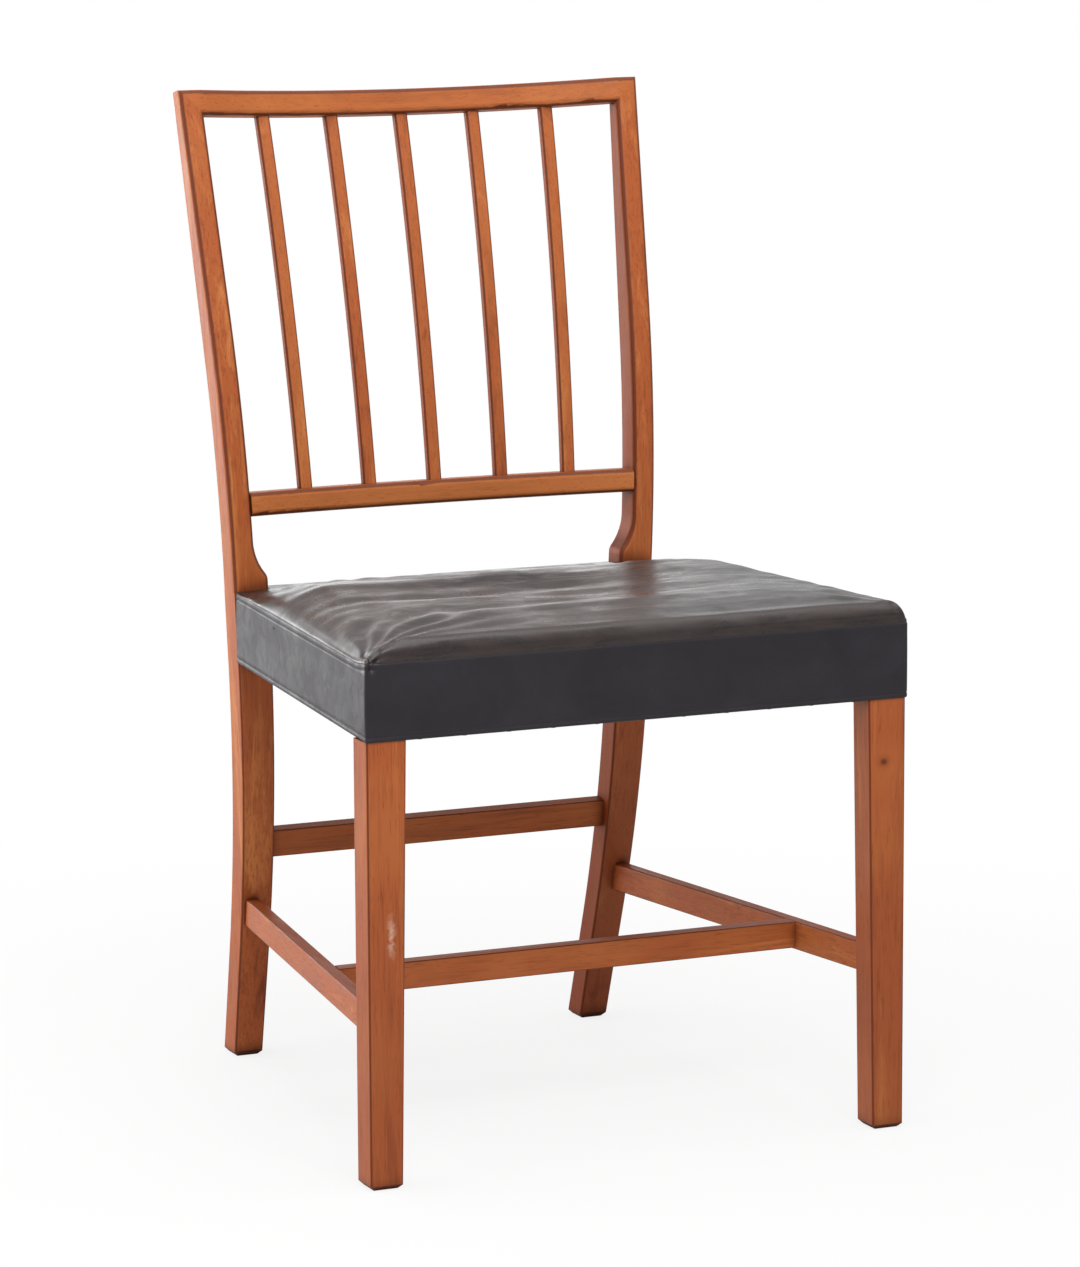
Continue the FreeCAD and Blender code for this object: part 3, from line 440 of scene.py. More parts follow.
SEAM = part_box("seat_top_leather")[0][2]
SEAT_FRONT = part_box("seat_leather_band")[0][1]
SEAT_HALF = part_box("seat_leather_band")[1][0]
BAND_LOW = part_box("seat_leather_band")[0][2]
BAND_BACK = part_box("seat_leather_band")[1][1]
SEAT_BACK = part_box("seat_top_leather")[1][1]
PAD_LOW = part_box("seat_pad")[0][2]
POST_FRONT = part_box("left_back_post")[0][1]
POST_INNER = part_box("back_leather_band")[1][0]
BACK_HALF = max(vertex.co.x for vertex in NODES["seat_leather_band"].data.vertices
                if vertex.co.y > BAND_BACK - 0.002)
SEAT_MIDDLE = (0.0, -0.04, 0.0)
TINY = 1e-9

# Seam between cover and bands: its lift along the front, and where that ends behind the front
FRONT_SEAM_LIFT = 0.0026
SEAM_FALL_FROM = 0.003
SEAM_FALL_TO = 0.030
# Points over each rounded edge of the cover, and over the flat between them
FRONT_POINTS = 14
BACK_POINTS = 8
LEFT_POINTS = 16
RIGHT_POINTS = 13
DEPTH_POINTS = 88
WIDTH_POINTS = 96
# How square each rounded edge is, where 2 is a true quarter round
LEFT_FULL = 1.75
RIGHT_FULL = 2.3
FRONT_FULL = 2.6
# Crown: where it starts in from the edge, how far it climbs, and where it falls to the back
CROWN_START = 0.018
CROWN_REACH = 0.085
FALL_FROM = -0.010
FALL_PAST_BACK = 0.006
# Stuffing: height above the seam up to which the cover is held, and steps of the simulation
SEWN_HEIGHT = 0.0025
SWELL_FRAMES = 20
CLOTH_QUALITY = 5
# Worn hollow: its middle and half sizes in plan
HOLLOW_PLACE = (0.005, -0.058)
HOLLOW_SIZE = (0.14, 0.080)
# Place, slope, half width, height and left and right ends of each long fold
FOLDS = [
    (-0.180, 0.10, 0.013, 0.0020, -0.15, 0.08),
    (-0.138, 0.16, 0.014, -0.0024, -0.20, 0.00),
    (-0.092, 0.05, 0.017, 0.0024, -0.10, 0.12),
    (-0.050, 0.12, 0.012, -0.0024, -0.16, 0.04),
    (0.000, -0.04, 0.015, 0.0020, -0.17, 0.00),
    (0.036, -0.10, 0.013, -0.0026, -0.05, 0.14),
    (0.080, 0.06, 0.013, 0.0020, -0.13, 0.05),
    (0.118, 0.02, 0.011, -0.0014, -0.09, 0.10),
]
FOLD_FADE_OUT = 0.06
FOLD_FADE_IN = 0.02
FOLD_SWAY = 0.009
FOLD_SWAY_PITCH = 0.22
FOLD_SEED = 3
# Shallow unevenness of the whole cover
SKIN_WAVE = 0.00045
SKIN_PITCH = 0.100
SKIN_STRETCH = 2.6
SKIN_SEED = 5
# Centre, first and last angle, teeth, height, reach and seed of each fan of puckers
PUCKERS = [
    (-0.250, -0.266, 20, 84, 26, 0.0020, 0.230, 21),
    (-0.172, 0.152, -100, -15, 20, 0.0012, 0.150, 22),
    (0.172, 0.152, -165, -80, 20, 0.0013, 0.150, 23),
    (0.250, -0.266, 100, 160, 16, 0.0006, 0.120, 24),
]
PUCKER_SIDE_FADE = 8
PUCKER_START = 0.008
PUCKER_FULL = 0.040
PUCKER_FADE = 0.35
PUCKER_WANDER = 1.8
PUCKER_PITCH = 0.10
# Dip behind the front roll: its line, how that wanders, and its half width
DIP_INSET = 0.030
DIP_WANDER = 0.004
DIP_PITCH = 0.17
DIP_WIDTH = 0.012
DIP_SEED = 11
# Front roll: how far it hangs over its seam, how high up, and its unevenness
OVERHANG = 0.0016
OVERHANG_HEIGHT = 0.009
OVERHANG_WIDTH = 0.006
ROLL_WAVE = 0.0006
ROLL_PITCH = 0.050
ROLL_STRETCH = 3
ROLL_START = 0.01
ROLL_SEED = 13
# Tuck at each front corner: side and depth, then its line, half width and reach behind the front
TUCK_DEPTHS = ((-1, 0.0086), (1, 0.0012))
TUCK_DROP = 0.6
TUCK_INSET = 0.0060
TUCK_LEAN = 0.30
TUCK_WANDER = 0.0012
TUCK_TURNS = 420
TUCK_WIDTH = 0.0030
TUCK_FROM = 0.012
TUCK_TO = 0.030
# Inset and drop below the seam of each ring of the cover's lip; the last ring is at the pad's base
LIP_RINGS = ((0.0006, 0.0007), (0.0022, 0.0010), (0.0026, None))
# Clearance of the cover before the posts, and how close a point lies that counts as on a cut
POST_GAP = 0.0006
ON_CUT = 0.00002
# Bands: leather thickness, clearance at the legs, turn under the rails, plan radius and points along them
BAND_THICK = 0.0014
BAND_LEG_GAP = 0.001
UNDER_TURN = 0.016
LEAST_TURN = 0.0016
BAND_BEND = 0.0030
BAND_SIDE_POINTS = 60
BAND_TURN_POINTS = 6
BAND_FRONT_POINTS = 240
BAND_BACK_POINTS = 50
# Bands: slow waves of their face, the fold under the seam, and the tuck drawn in at the left front corner
BAND_WAVE = 0.0003
BAND_WAVE_TURNS = 18
BAND_FOLD = 0.0005
BAND_TUCK = 0.0036
BAND_TUCK_INSET = 0.0056
BAND_TUCK_WIDTH = 0.0022
# Webbing: thickness of a strap and the run over which it climbs onto another
STRAP_THICK = 0.0014
STRAP_RAMP = 0.012
STRAP_RUN_POINTS = 181
STRAP_WIDTH_POINTS = 13
# Squares of the hessian and the bottom cloth
SHEET_PITCH = 0.009
# Hessian: clearances at the posts, and its dip between the straps
HESSIAN_POST_GAP = 0.0012
HESSIAN_SIDE_GAP = 0.0016
HESSIAN_DIP = 0.0010
HESSIAN_HELD = 0.028
HESSIAN_FREE = 0.046
HESSIAN_EDGE = (0.020, 0.045)
# Bottom cloth: clearances at the legs and posts
CLOTH_GAP = 0.0012
CLOTH_POST_GAP = 0.0026
# Bottom cloth: middle and half sizes of its belly, its unevenness and the turned edge
BELLY_Y = -0.044
BELLY_HALF = (0.235, 0.207)
CLOTH_WAVE = 0.0006
CLOTH_PITCH = 0.06
CLOTH_SEED = 31
CLOTH_EDGE = 0.0004
CLOTH_TURN = (0.0075, 0.0085)
CLOTH_FREE = (0.010, 0.030)


def seat_half(y):
    """Half the seat's width over its leather at a depth y."""
    share = (y - SEAT_FRONT) / (BAND_BACK - SEAT_FRONT)
    return SEAT_HALF + (BACK_HALF - SEAT_HALF) * share


def seam_at(y):
    """Height of the seam between cover and bands: a little higher along the front."""
    return SEAM + FRONT_SEAM_LIFT * (1 - step(y, SEAT_FRONT + SEAM_FALL_FROM, SEAT_FRONT + SEAM_FALL_TO))


def edge_insets(reach, count):
    """Distances in from an edge, closest together where the cover turns down."""
    return [reach * (1 - math.cos(math.pi / 2 * place / count)) for place in range(count + 1)]


def quarter(inset, reach, full=2.0):
    """Height share of a rounded edge at a distance in from it, squarer for a larger full."""
    share = np.clip(1 - inset / reach, 0.0, 1.0)
    return np.maximum(0.0, 1 - share ** full) ** (1 / full)


def cover_grid(seat):
    """The cover's top as rows of points, dense at its edges, on the crown of the stuffed pad."""
    depth = SEAT_BACK - SEAT_FRONT
    front = edge_insets(seat.front_roll, FRONT_POINTS)
    back = edge_insets(seat.back_roll, BACK_POINTS)
    middle = np.linspace(seat.front_roll, depth - seat.back_roll, DEPTH_POINTS)[1:-1]
    rows = np.array(front + list(middle) + [depth - inset for inset in back[::-1]])
    left_edge = np.array(edge_insets(seat.left_roll, LEFT_POINTS))[None, :]
    right_edge = np.array(edge_insets(seat.right_roll, RIGHT_POINTS)[::-1])[None, :]
    across = np.linspace(0, 1, WIDTH_POINTS)[None, 1:-1]
    y = np.repeat(rows[:, None], left_edge.size + right_edge.size + across.size, axis=1) + SEAT_FRONT
    half = seat_half(y[:, :1])
    inner = seat.left_roll - half + (2 * half - seat.left_roll - seat.right_roll) * across
    x = np.concatenate([left_edge - half, inner, half - right_edge], axis=1)
    half = seat_half(y)
    from_side = half - np.abs(x)
    from_front = y - SEAT_FRONT
    from_back = SEAT_BACK - y
    edge = quarter(half + x, seat.left_roll, LEFT_FULL) * quarter(half - x, seat.right_roll, RIGHT_FULL)
    edge = edge * quarter(from_front, seat.front_roll, FRONT_FULL)
    edge = edge * quarter(from_back, seat.back_roll)
    inside = np.clip((np.minimum(from_side, from_front) - CROWN_START) / CROWN_REACH, 0, 1)
    fall = 1 - (1 - seat.back_rise / seat.rise) * step(y, FALL_FROM, SEAT_BACK + FALL_PAST_BACK)
    rise = (seat.rise - seat.edge_rise) * (1 - (1 - inside) ** 2) + seat.edge_rise
    z = seam_at(y) + (rise - (seam_at(y) - SEAM)) * edge * fall
    # The front corners are rounded in plan
    bend = seat.corner_bend
    near = (from_side < bend) & (from_front < bend)
    a = bend - from_side
    b = bend - from_front
    pull = np.where(near, np.maximum(a, b) / np.maximum(np.hypot(a, b), TINY), 1.0)
    x = np.where(near, np.sign(x) * (half - bend + a * pull), x)
    y = np.where(near, SEAT_FRONT + bend - b * pull, y)
    return x, y, z


def swelled(mesh, seat):
    """Points of the cover after its stuffing has pressed it out, held along its edge."""
    start = points_of(mesh)
    form = bpy.data.objects.new("cover_form", mesh.copy())
    bpy.context.scene.collection.objects.link(form)
    edge = form.vertex_groups.new(name="sewn")
    low = np.nonzero(start[:, 2] < seam_at(start[:, 1]) + SEWN_HEIGHT)[0]
    edge.add([int(index) for index in low], 1.0, "REPLACE")
    cloth = form.modifiers.new("Cloth", "CLOTH")
    cloth.settings.vertex_group_mass = "sewn"
    cloth.settings.use_pressure = True
    cloth.settings.uniform_pressure_force = seat.pressure
    cloth.settings.effector_weights.gravity = 0.0
    cloth.settings.quality = CLOTH_QUALITY
    scene = bpy.context.scene
    for count in range(1, SWELL_FRAMES + 1):
        scene.frame_set(count)
    moved = points_of(settled(form)) - start
    scene.frame_set(1)
    bpy.data.objects.remove(form)
    gap = np.linalg.norm(moved, axis=1, keepdims=True)
    return start + moved * np.minimum(1.0, seat.swell / np.maximum(gap, TINY))


def worn_in(points, normal, seat):
    """Sculpts the swelled cover: hollow, long folds, puckers, rolled front edge and crease."""
    x, y, z = points.T.copy()
    up = step(normal[:, 2], 0.55, 0.95)
    lift = -seat.hollow * hump(x, HOLLOW_PLACE[0], HOLLOW_SIZE[0]) * hump(y, HOLLOW_PLACE[1], HOLLOW_SIZE[1])
    sway = FOLD_SWAY * ripple(x, y, FOLD_SEED, FOLD_SWAY_PITCH)
    for at, slope, width, height, left, right in FOLDS:
        run = step(x, left - FOLD_FADE_OUT, left + FOLD_FADE_IN)
        run = run * (1 - step(x, right - FOLD_FADE_IN, right + FOLD_FADE_OUT))
        lift += height * run * hump(y + sway - slope * x, at, width)
    lift += SKIN_WAVE * ripple(x, y * SKIN_STRETCH, SKIN_SEED, SKIN_PITCH)
    for cx, cy, first, last, teeth, height, reach, seed in PUCKERS:
        dx = x - cx
        dy = y - cy
        away = np.hypot(dx, dy)
        angle = np.degrees(np.arctan2(dy, dx))
        fan = step(angle, first - PUCKER_SIDE_FADE, first + PUCKER_SIDE_FADE)
        fan = fan * (1 - step(angle, last - PUCKER_SIDE_FADE, last + PUCKER_SIDE_FADE))
        wave = np.sin(np.radians(angle) * teeth + PUCKER_WANDER * ripple(x, y, seed, PUCKER_PITCH))
        near = step(away, PUCKER_START, PUCKER_FULL)
        lift += height * wave * fan * near * (1 - step(away, reach * PUCKER_FADE, reach))
    ridge = SEAT_FRONT + DIP_INSET + DIP_WANDER * ripple(x, np.zeros_like(x), DIP_SEED, DIP_PITCH)
    lift -= seat.roll_dip * hump(y, ridge, DIP_WIDTH) * (1 - 0.6 * step(x, 0.05, 0.20))
    z = z + lift * up
    # The roll at the front hangs over its seam and is uneven along its length
    out = step(-normal[:, 1], 0.25, 0.8)
    over = seam_at(y)
    wave = ROLL_WAVE * ripple(x, z * ROLL_STRETCH, ROLL_SEED, ROLL_PITCH) * step(z, over, over + ROLL_START)
    y = y - out * (OVERHANG * hump(z, over + OVERHANG_HEIGHT, OVERHANG_WIDTH) + wave)
    # A tuck runs down each front corner, deeper on the left
    at_front = 1 - step(y, SEAT_FRONT + TUCK_FROM, SEAT_FRONT + TUCK_TO)
    for side, deep in TUCK_DEPTHS:
        height = z - SEAM
        line = SEAT_HALF - TUCK_INSET - TUCK_LEAN * height - TUCK_WANDER * np.sin(height * TUCK_TURNS)
        tuck = hump(side * x, line, TUCK_WIDTH) * step(normal[:, 2], 0.97, 0.75) * at_front
        y = y + deep * tuck
        z = z - TUCK_DROP * deep * tuck
    return np.stack([x, y, z], axis=1)


def cushion_mesh(seat):
    """The cover: crowned top, and a lip tucked in at the seam and turned down inside the bands."""
    x, y, z = cover_grid(seat)
    rows, columns = x.shape
    points = np.stack([x, y, z], axis=2).reshape(-1, 3)
    number = np.arange(rows * columns).reshape(rows, columns)
    faces = grid_faces(rows, columns)
    top = mesh_from("seat_cushion", points, faces)
    points = swelled(top, seat)
    set_points(top, points)
    points = worn_in(points, normals_of(top), seat)
    bpy.data.meshes.remove(top)
    # Lip and base hang from the top's outer ring
    ring = list(number[0, :]) + list(number[1:, -1]) + list(number[-1, -2::-1]) + list(number[-2:0:-1, 0])
    outer = points[ring]
    inward = np.array(SEAT_MIDDLE) - outer
    inward[:, 2] = 0
    inward /= np.maximum(np.linalg.norm(inward, axis=1, keepdims=True), TINY)
    levels = [points]
    rings = [ring]
    for inset, drop in LIP_RINGS:
        level = outer + inward * inset
        level[:, 2] = seam_at(outer[:, 1]) - drop if drop else PAD_LOW
        first = sum(len(part) for part in levels)
        rings.append(list(range(first, first + len(ring))))
        levels.append(level)
    for upper, lower in zip(rings, rings[1:]):
        for count in range(len(ring)):
            after = (count + 1) % len(ring)
            faces.append((upper[after], upper[count], lower[count], lower[after]))
    mesh = mesh_from("seat_cushion", np.concatenate(levels), faces)
    face_outward(mesh)
    return mesh


def post_notches(mesh):
    """Closes the cover's base, cuts its back corners away for the posts and walls up the cuts."""
    work = bmesh.new()
    work.from_mesh(mesh)
    bmesh.ops.contextual_create(work, geom=[edge for edge in work.edges if edge.is_boundary])
    front = POST_FRONT - POST_GAP
    for side in (-1, 1):
        inner = side * POST_INNER
        for place, facing in (((inner, 0, 0), (1, 0, 0)), ((0, front, 0), (0, 1, 0))):
            everything = work.verts[:] + work.edges[:] + work.faces[:]
            bmesh.ops.bisect_plane(work, geom=everything, plane_co=place, plane_no=facing, dist=1e-6)
        lost = []
        for face in work.faces:
            middle = face.calc_center_median()
            if side * middle.x > POST_INNER and middle.y > front:
                lost.append(face)
        bmesh.ops.delete(work, geom=lost, context="FACES")
        rim = [edge for edge in work.edges if edge.is_boundary]
        ends = {vert for edge in rim for vert in edge.verts}
        corner = [vert for vert in ends
                  if abs(vert.co.x - inner) < ON_CUT and abs(vert.co.y - front) < ON_CUT]
        corner.sort(key=lambda vert: vert.co.z)
        if len(corner) < 2:
            raise RuntimeError("the seat cover has no corner at a back post")
        upright = work.edges.new((corner[0], corner[-1]))
        for axis, at in ((0, inner), (1, front)):
            loop = [edge for edge in rim if all(abs(vert.co[axis] - at) < ON_CUT for vert in edge.verts)]
            bmesh.ops.contextual_create(work, geom=loop + [upright])
    bmesh.ops.recalc_face_normals(work, faces=work.faces)
    work.to_mesh(mesh)
    work.free()


def seat_path():
    """Outer line of the bands in plan: up the left side, across the front, down the right side."""
    run = Vector((SEAT_HALF - BACK_HALF, SEAT_FRONT - BAND_BACK, 0)).normalized()
    corner = Vector((SEAT_HALF, SEAT_FRONT, 0))
    first = corner - run * BAND_BEND
    last = corner + Vector((-BAND_BEND, 0, 0))
    right = [Vector((BACK_HALF, BAND_BACK, 0)).lerp(first, count / BAND_SIDE_POINTS)
             for count in range(BAND_SIDE_POINTS + 1)]
    turn = []
    for count in range(1, BAND_TURN_POINTS):
        share = count / BAND_TURN_POINTS
        turn.append(first * (1 - share) ** 2 + corner * 2 * share * (1 - share) + last * share ** 2)
    front = [Vector((last.x * (1 - 2 * count / BAND_FRONT_POINTS), SEAT_FRONT, 0))
             for count in range(BAND_FRONT_POINTS + 1)]
    half = right + turn
    mirror = [Vector((-point.x, point.y, 0)) for point in half]
    return mirror + front[::-1] + half[::-1]


def swept_band(name, line, under_at):
    """A leather strip along a plan line, with its lower edge turned under."""
    rings = []
    for count, point in enumerate(line):
        before = line[max(count - 1, 0)]
        after = line[min(count + 1, len(line) - 1)]
        along = (after - before).normalized()
        out = Vector((along.y, -along.x, 0))
        deep = max(under_at(point), LEAST_TURN)
        turn = (point.x - point.y) * BAND_WAVE_TURNS
        sag = BAND_WAVE * math.sin(turn * 1.7) + BAND_WAVE * math.sin(turn * 0.61 + 1.0)
        seam = float(seam_at(point.y))
        on_front = point.y < SEAT_FRONT + 0.001
        corner = float(hump(-point.x, SEAT_HALF - BAND_TUCK_INSET, BAND_TUCK_WIDTH))
        pull = BAND_TUCK * corner if on_front else 0.0
        fold = 0.0 if on_front else BAND_FOLD
        # Reach outward and height, from the seam down the face, round under the rail and up inside
        profile = [(-BAND_THICK - pull, seam - 0.0006), (-0.0009 - pull, seam - 0.0001),
                   (-0.0003 - pull, seam - 0.0006), (-pull, seam - 0.0020), (-pull, seam - 0.0046),
                   (-fold - pull, seam - 0.0054), (-pull * 0.6, seam - 0.0062),
                   (-pull * 0.2, SEAM - 0.0070), (sag * 0.4, SEAM - 0.012), (sag, SEAM - 0.020),
                   (sag, SEAM - 0.035), (sag * 0.5, BAND_LOW + 0.008), (0.0, BAND_LOW + 0.0050),
                   (-0.0004, BAND_LOW + 0.0044), (0.0001, BAND_LOW + 0.0036),
                   (0.0001, BAND_LOW + 0.0014), (-0.0004, BAND_LOW + 0.0004), (-0.0013, BAND_LOW),
                   (-deep, BAND_LOW), (-deep, BAND_LOW + BAND_THICK),
                   (-BAND_THICK, BAND_LOW + BAND_THICK), (-BAND_THICK, SEAM - 0.022)]
        rings.append([point + out * reach + Vector((0, 0, height)) for reach, height in profile])
    width = len(rings[0])
    points = [point for ring in rings for point in ring]
    faces = []
    for ring in range(len(rings) - 1):
        for count in range(width):
            following = (count + 1) % width
            faces.append((ring * width + count, ring * width + following,
                          (ring + 1) * width + following, (ring + 1) * width + count))
    faces.append(tuple(range(width)))
    faces.append(tuple(range((len(rings) - 1) * width, len(rings) * width))[::-1])
    mesh = mesh_from(name, points, faces)
    face_outward(mesh)
    return mesh


def gridded_sheet(name, right_side, level):
    """A flat sheet, the same on both sides, divided into squares so that it can sag, and its area."""
    outline = [(x, y, level) for x, y in right_side] + [(-x, y, level) for x, y in reversed(right_side)]
    work = bmesh.new()
    work.faces.new([work.verts.new(point) for point in outline])
    low = [min(point[axis] for point in outline) for axis in range(2)]
    high = [max(point[axis] for point in outline) for axis in range(2)]
    for axis in range(2):
        facing = Vector((1, 0, 0)) if axis == 0 else Vector((0, 1, 0))
        at = low[axis] + SHEET_PITCH
        while at < high[axis] - SHEET_PITCH * 0.3:
            everything = work.verts[:] + work.edges[:] + work.faces[:]
            bmesh.ops.bisect_plane(work, geom=everything, plane_co=facing * at, plane_no=facing)
            at += SHEET_PITCH
    mesh = bpy.data.meshes.new(name)
    work.to_mesh(mesh)
    work.free()
    return mesh, sum(face.area for face in mesh.polygons)


def from_edge(x, y, box, inset):
    """How far a point of a sheet lies in from the sheet's edges."""
    low, high = box
    return np.minimum(seat_half(y) - inset - np.abs(x), np.minimum(y - low[1], high[1] - y))


def webbing_node(way, count):
    return "%s_webbing_%d" % (way, count)


def strap_mesh(name, box, over):
    """A webbing strap that rises over the straps in over, and its flat width and length."""
    low, high = box
    axis = 0 if high[0] - low[0] > high[1] - low[1] else 1
    run = np.linspace(low[axis], high[axis], STRAP_RUN_POINTS)
    lift = np.zeros_like(run)
    for start, end in over:
        rise = step(run, start[axis] - STRAP_RAMP, start[axis]) * step(run, end[axis] + STRAP_RAMP, end[axis])
        lift = np.maximum(lift, rise)
    level = low[2] + STRAP_THICK / 2 + lift * (high[2] - low[2] - STRAP_THICK)
    across = np.linspace(low[1 - axis], high[1 - axis], STRAP_WIDTH_POINTS)
    points = [(along, side, height) if axis == 0 else (side, along, height)
              for along, height in zip(run, level) for side in across]
    mesh = mesh_from(name, points, grid_faces(STRAP_RUN_POINTS, STRAP_WIDTH_POINTS))
    smooth(mesh)
    length = np.hypot(np.diff(run), np.diff(level)).sum()
    return mesh, (float(across[-1] - across[0]), float(length))


def thicken(sheet, thickness):
    """Gives a sheet its thickness, half to each side."""
    thick = sheet.modifiers.new("Thickness", "SOLIDIFY")
    thick.thickness = thickness
    thick.offset = 0.0
    sheet.data = settled(sheet)
    sheet.modifiers.clear()


# Studio

SENSOR = 36.0
FLOOR_HALF = 9.0
# To the camera the floor is part white under the chair and all white farther out
WHITE_UNDER = 0.83
WHITE_FROM = 0.45
WHITE_TO = 1.2
FILL_COLOUR = (1.0, 0.99, 0.98, 1.0)
FILL_STRENGTH = 0.34
SURROUND_COLOUR = (1.0, 1.0, 1.0, 1.0)
# Name, place, aim, size and power of each lamp
LAMPS = [
    ("left_window", (-2.4, 0.3, 1.8), (0, 0, 0.55), (2.6, 2.2), 37.0),
    ("back_left_window", (-1.8, 3.0, 0.75), (0, 0, 0.45), (2.5, 1.4), 46.0),
    ("back_window", (0.3, 3.6, 0.85), (0, 0, 0.45), (3.0, 1.2), 13.0),
    ("top_soft", (0.3, -0.4, 3.0), (0, 0, 0.4), (2.4, 2.4), 40.0),
    ("front_soft", (-0.45, -1.7, 2.4), (0, 0.2, 0.88), (1.5, 1.3), 37.0),
]


# Settings

class ChairFinish(bpy.types.PropertyGroup):
    """Colours of the wood and the leather."""
    wood_main: FloatVectorProperty(name="Wood", description="Main colour of the show wood",
                                   subtype="COLOR", size=3, min=0, max=1, default=(0.412, 0.100, 0.0265))
    wood_pale: FloatVectorProperty(name="Pale grain", description="Lighter bands of the wood",
                                   subtype="COLOR", size=3, min=0, max=1, default=(0.565, 0.188, 0.052))
    wood_dark: FloatVectorProperty(name="Dark grain", description="Darker bands of the wood",
                                   subtype="COLOR", size=3, min=0, max=1, default=(0.20, 0.040, 0.012))
    # How much darker the rounded edges are made
    arris_dark: FloatProperty(name="Dark arrises", description="How much dark polish the rounded edges hold",
                              subtype="FACTOR", min=0, max=1, default=0.90)
    hide_main: FloatVectorProperty(name="Leather", description="Main colour of the seat leather",
                                   subtype="COLOR", size=3, min=0, max=1, default=(0.0165, 0.0130, 0.0130))
    hide_band: FloatVectorProperty(name="Band leather", description="Colour of the leather round the rails",
                                   subtype="COLOR", size=3, min=0, max=1, default=(0.0160, 0.0132, 0.0180))
    hide_worn: FloatVectorProperty(name="Worn leather", description="Leather where the surface is rubbed",
                                   subtype="COLOR", size=3, min=0, max=1, default=(0.066, 0.036, 0.029))


class ChairSeat(bpy.types.PropertyGroup):
    """Sizes of the leather seat."""
    rise: FloatProperty(name="Rise", description="Crown of the seat above its seam", unit="LENGTH",
                        default=0.0235, min=0, max=0.05)
    edge_rise: FloatProperty(name="Edge rise", description="Height of the rounded edge", unit="LENGTH",
                             default=0.0214, min=0, max=0.05)
    back_rise: FloatProperty(name="Back rise", description="Crown left along the back edge", unit="LENGTH",
                             default=0.0006, min=0, max=0.05)
    left_roll: FloatProperty(name="Left roll", description="Width of the rounded left edge", unit="LENGTH",
                             default=0.044, min=0.002, max=0.08)
    right_roll: FloatProperty(name="Right roll", description="Width of the rounded right edge", unit="LENGTH",
                              default=0.015, min=0.002, max=0.08)
    front_roll: FloatProperty(name="Front roll", description="Width of the rolled front edge", unit="LENGTH",
                              default=0.010, min=0.002, max=0.05)
    back_roll: FloatProperty(name="Back roll", description="Width of the rounded back edge", unit="LENGTH",
                             default=0.008, min=0.002, max=0.05)
    corner_bend: FloatProperty(name="Corner", description="Radius of the front corners in plan",
                               unit="LENGTH", default=0.004, min=0.001, max=0.03)
    pressure: FloatProperty(name="Pressure", description="Pressure of the stuffing on its cover",
                            default=4.0, min=0)
    swell: FloatProperty(name="Swell", description="Most that the stuffing lifts its cover", unit="LENGTH",
                         default=0.0012, min=0, max=0.01)
    hollow: FloatProperty(name="Hollow", description="Depth of the worn hollow in the seat", unit="LENGTH",
                          default=0.0068, min=0, max=0.02)
    roll_dip: FloatProperty(name="Roll dip", description="Dip behind the rolled front edge", unit="LENGTH",
                            default=0.0006, min=0, max=0.01)
    cloth_sag: FloatProperty(name="Cloth sag", description="How far the cloth under the seat hangs",
                             unit="LENGTH", default=0.005, min=0, max=0.02)


class ChairStage(bpy.types.PropertyGroup):
    """Studio and camera."""
    focal: FloatProperty(name="Focal length", description="Lens on a 36 mm sensor", subtype="DISTANCE_CAMERA",
                         default=146.4)
    eye: FloatVectorProperty(name="Eye", description="Place of the camera", subtype="TRANSLATION", size=3,
                             default=(-1.77815, -4.02973, 1.13172))
    yaw: FloatProperty(name="Yaw", description="Turn of the camera about the upright", subtype="ANGLE",
                       default=math.radians(-24.099))
    pitch: FloatProperty(name="Pitch", description="Tilt of the camera", subtype="ANGLE",
                         default=math.radians(-9.365))
    roll: FloatProperty(name="Roll", description="Turn of the camera about its axis", subtype="ANGLE",
                        default=math.radians(-0.282))
    seed: IntProperty(name="Seed", description="Start of the grain's random places", default=4)


# Operators

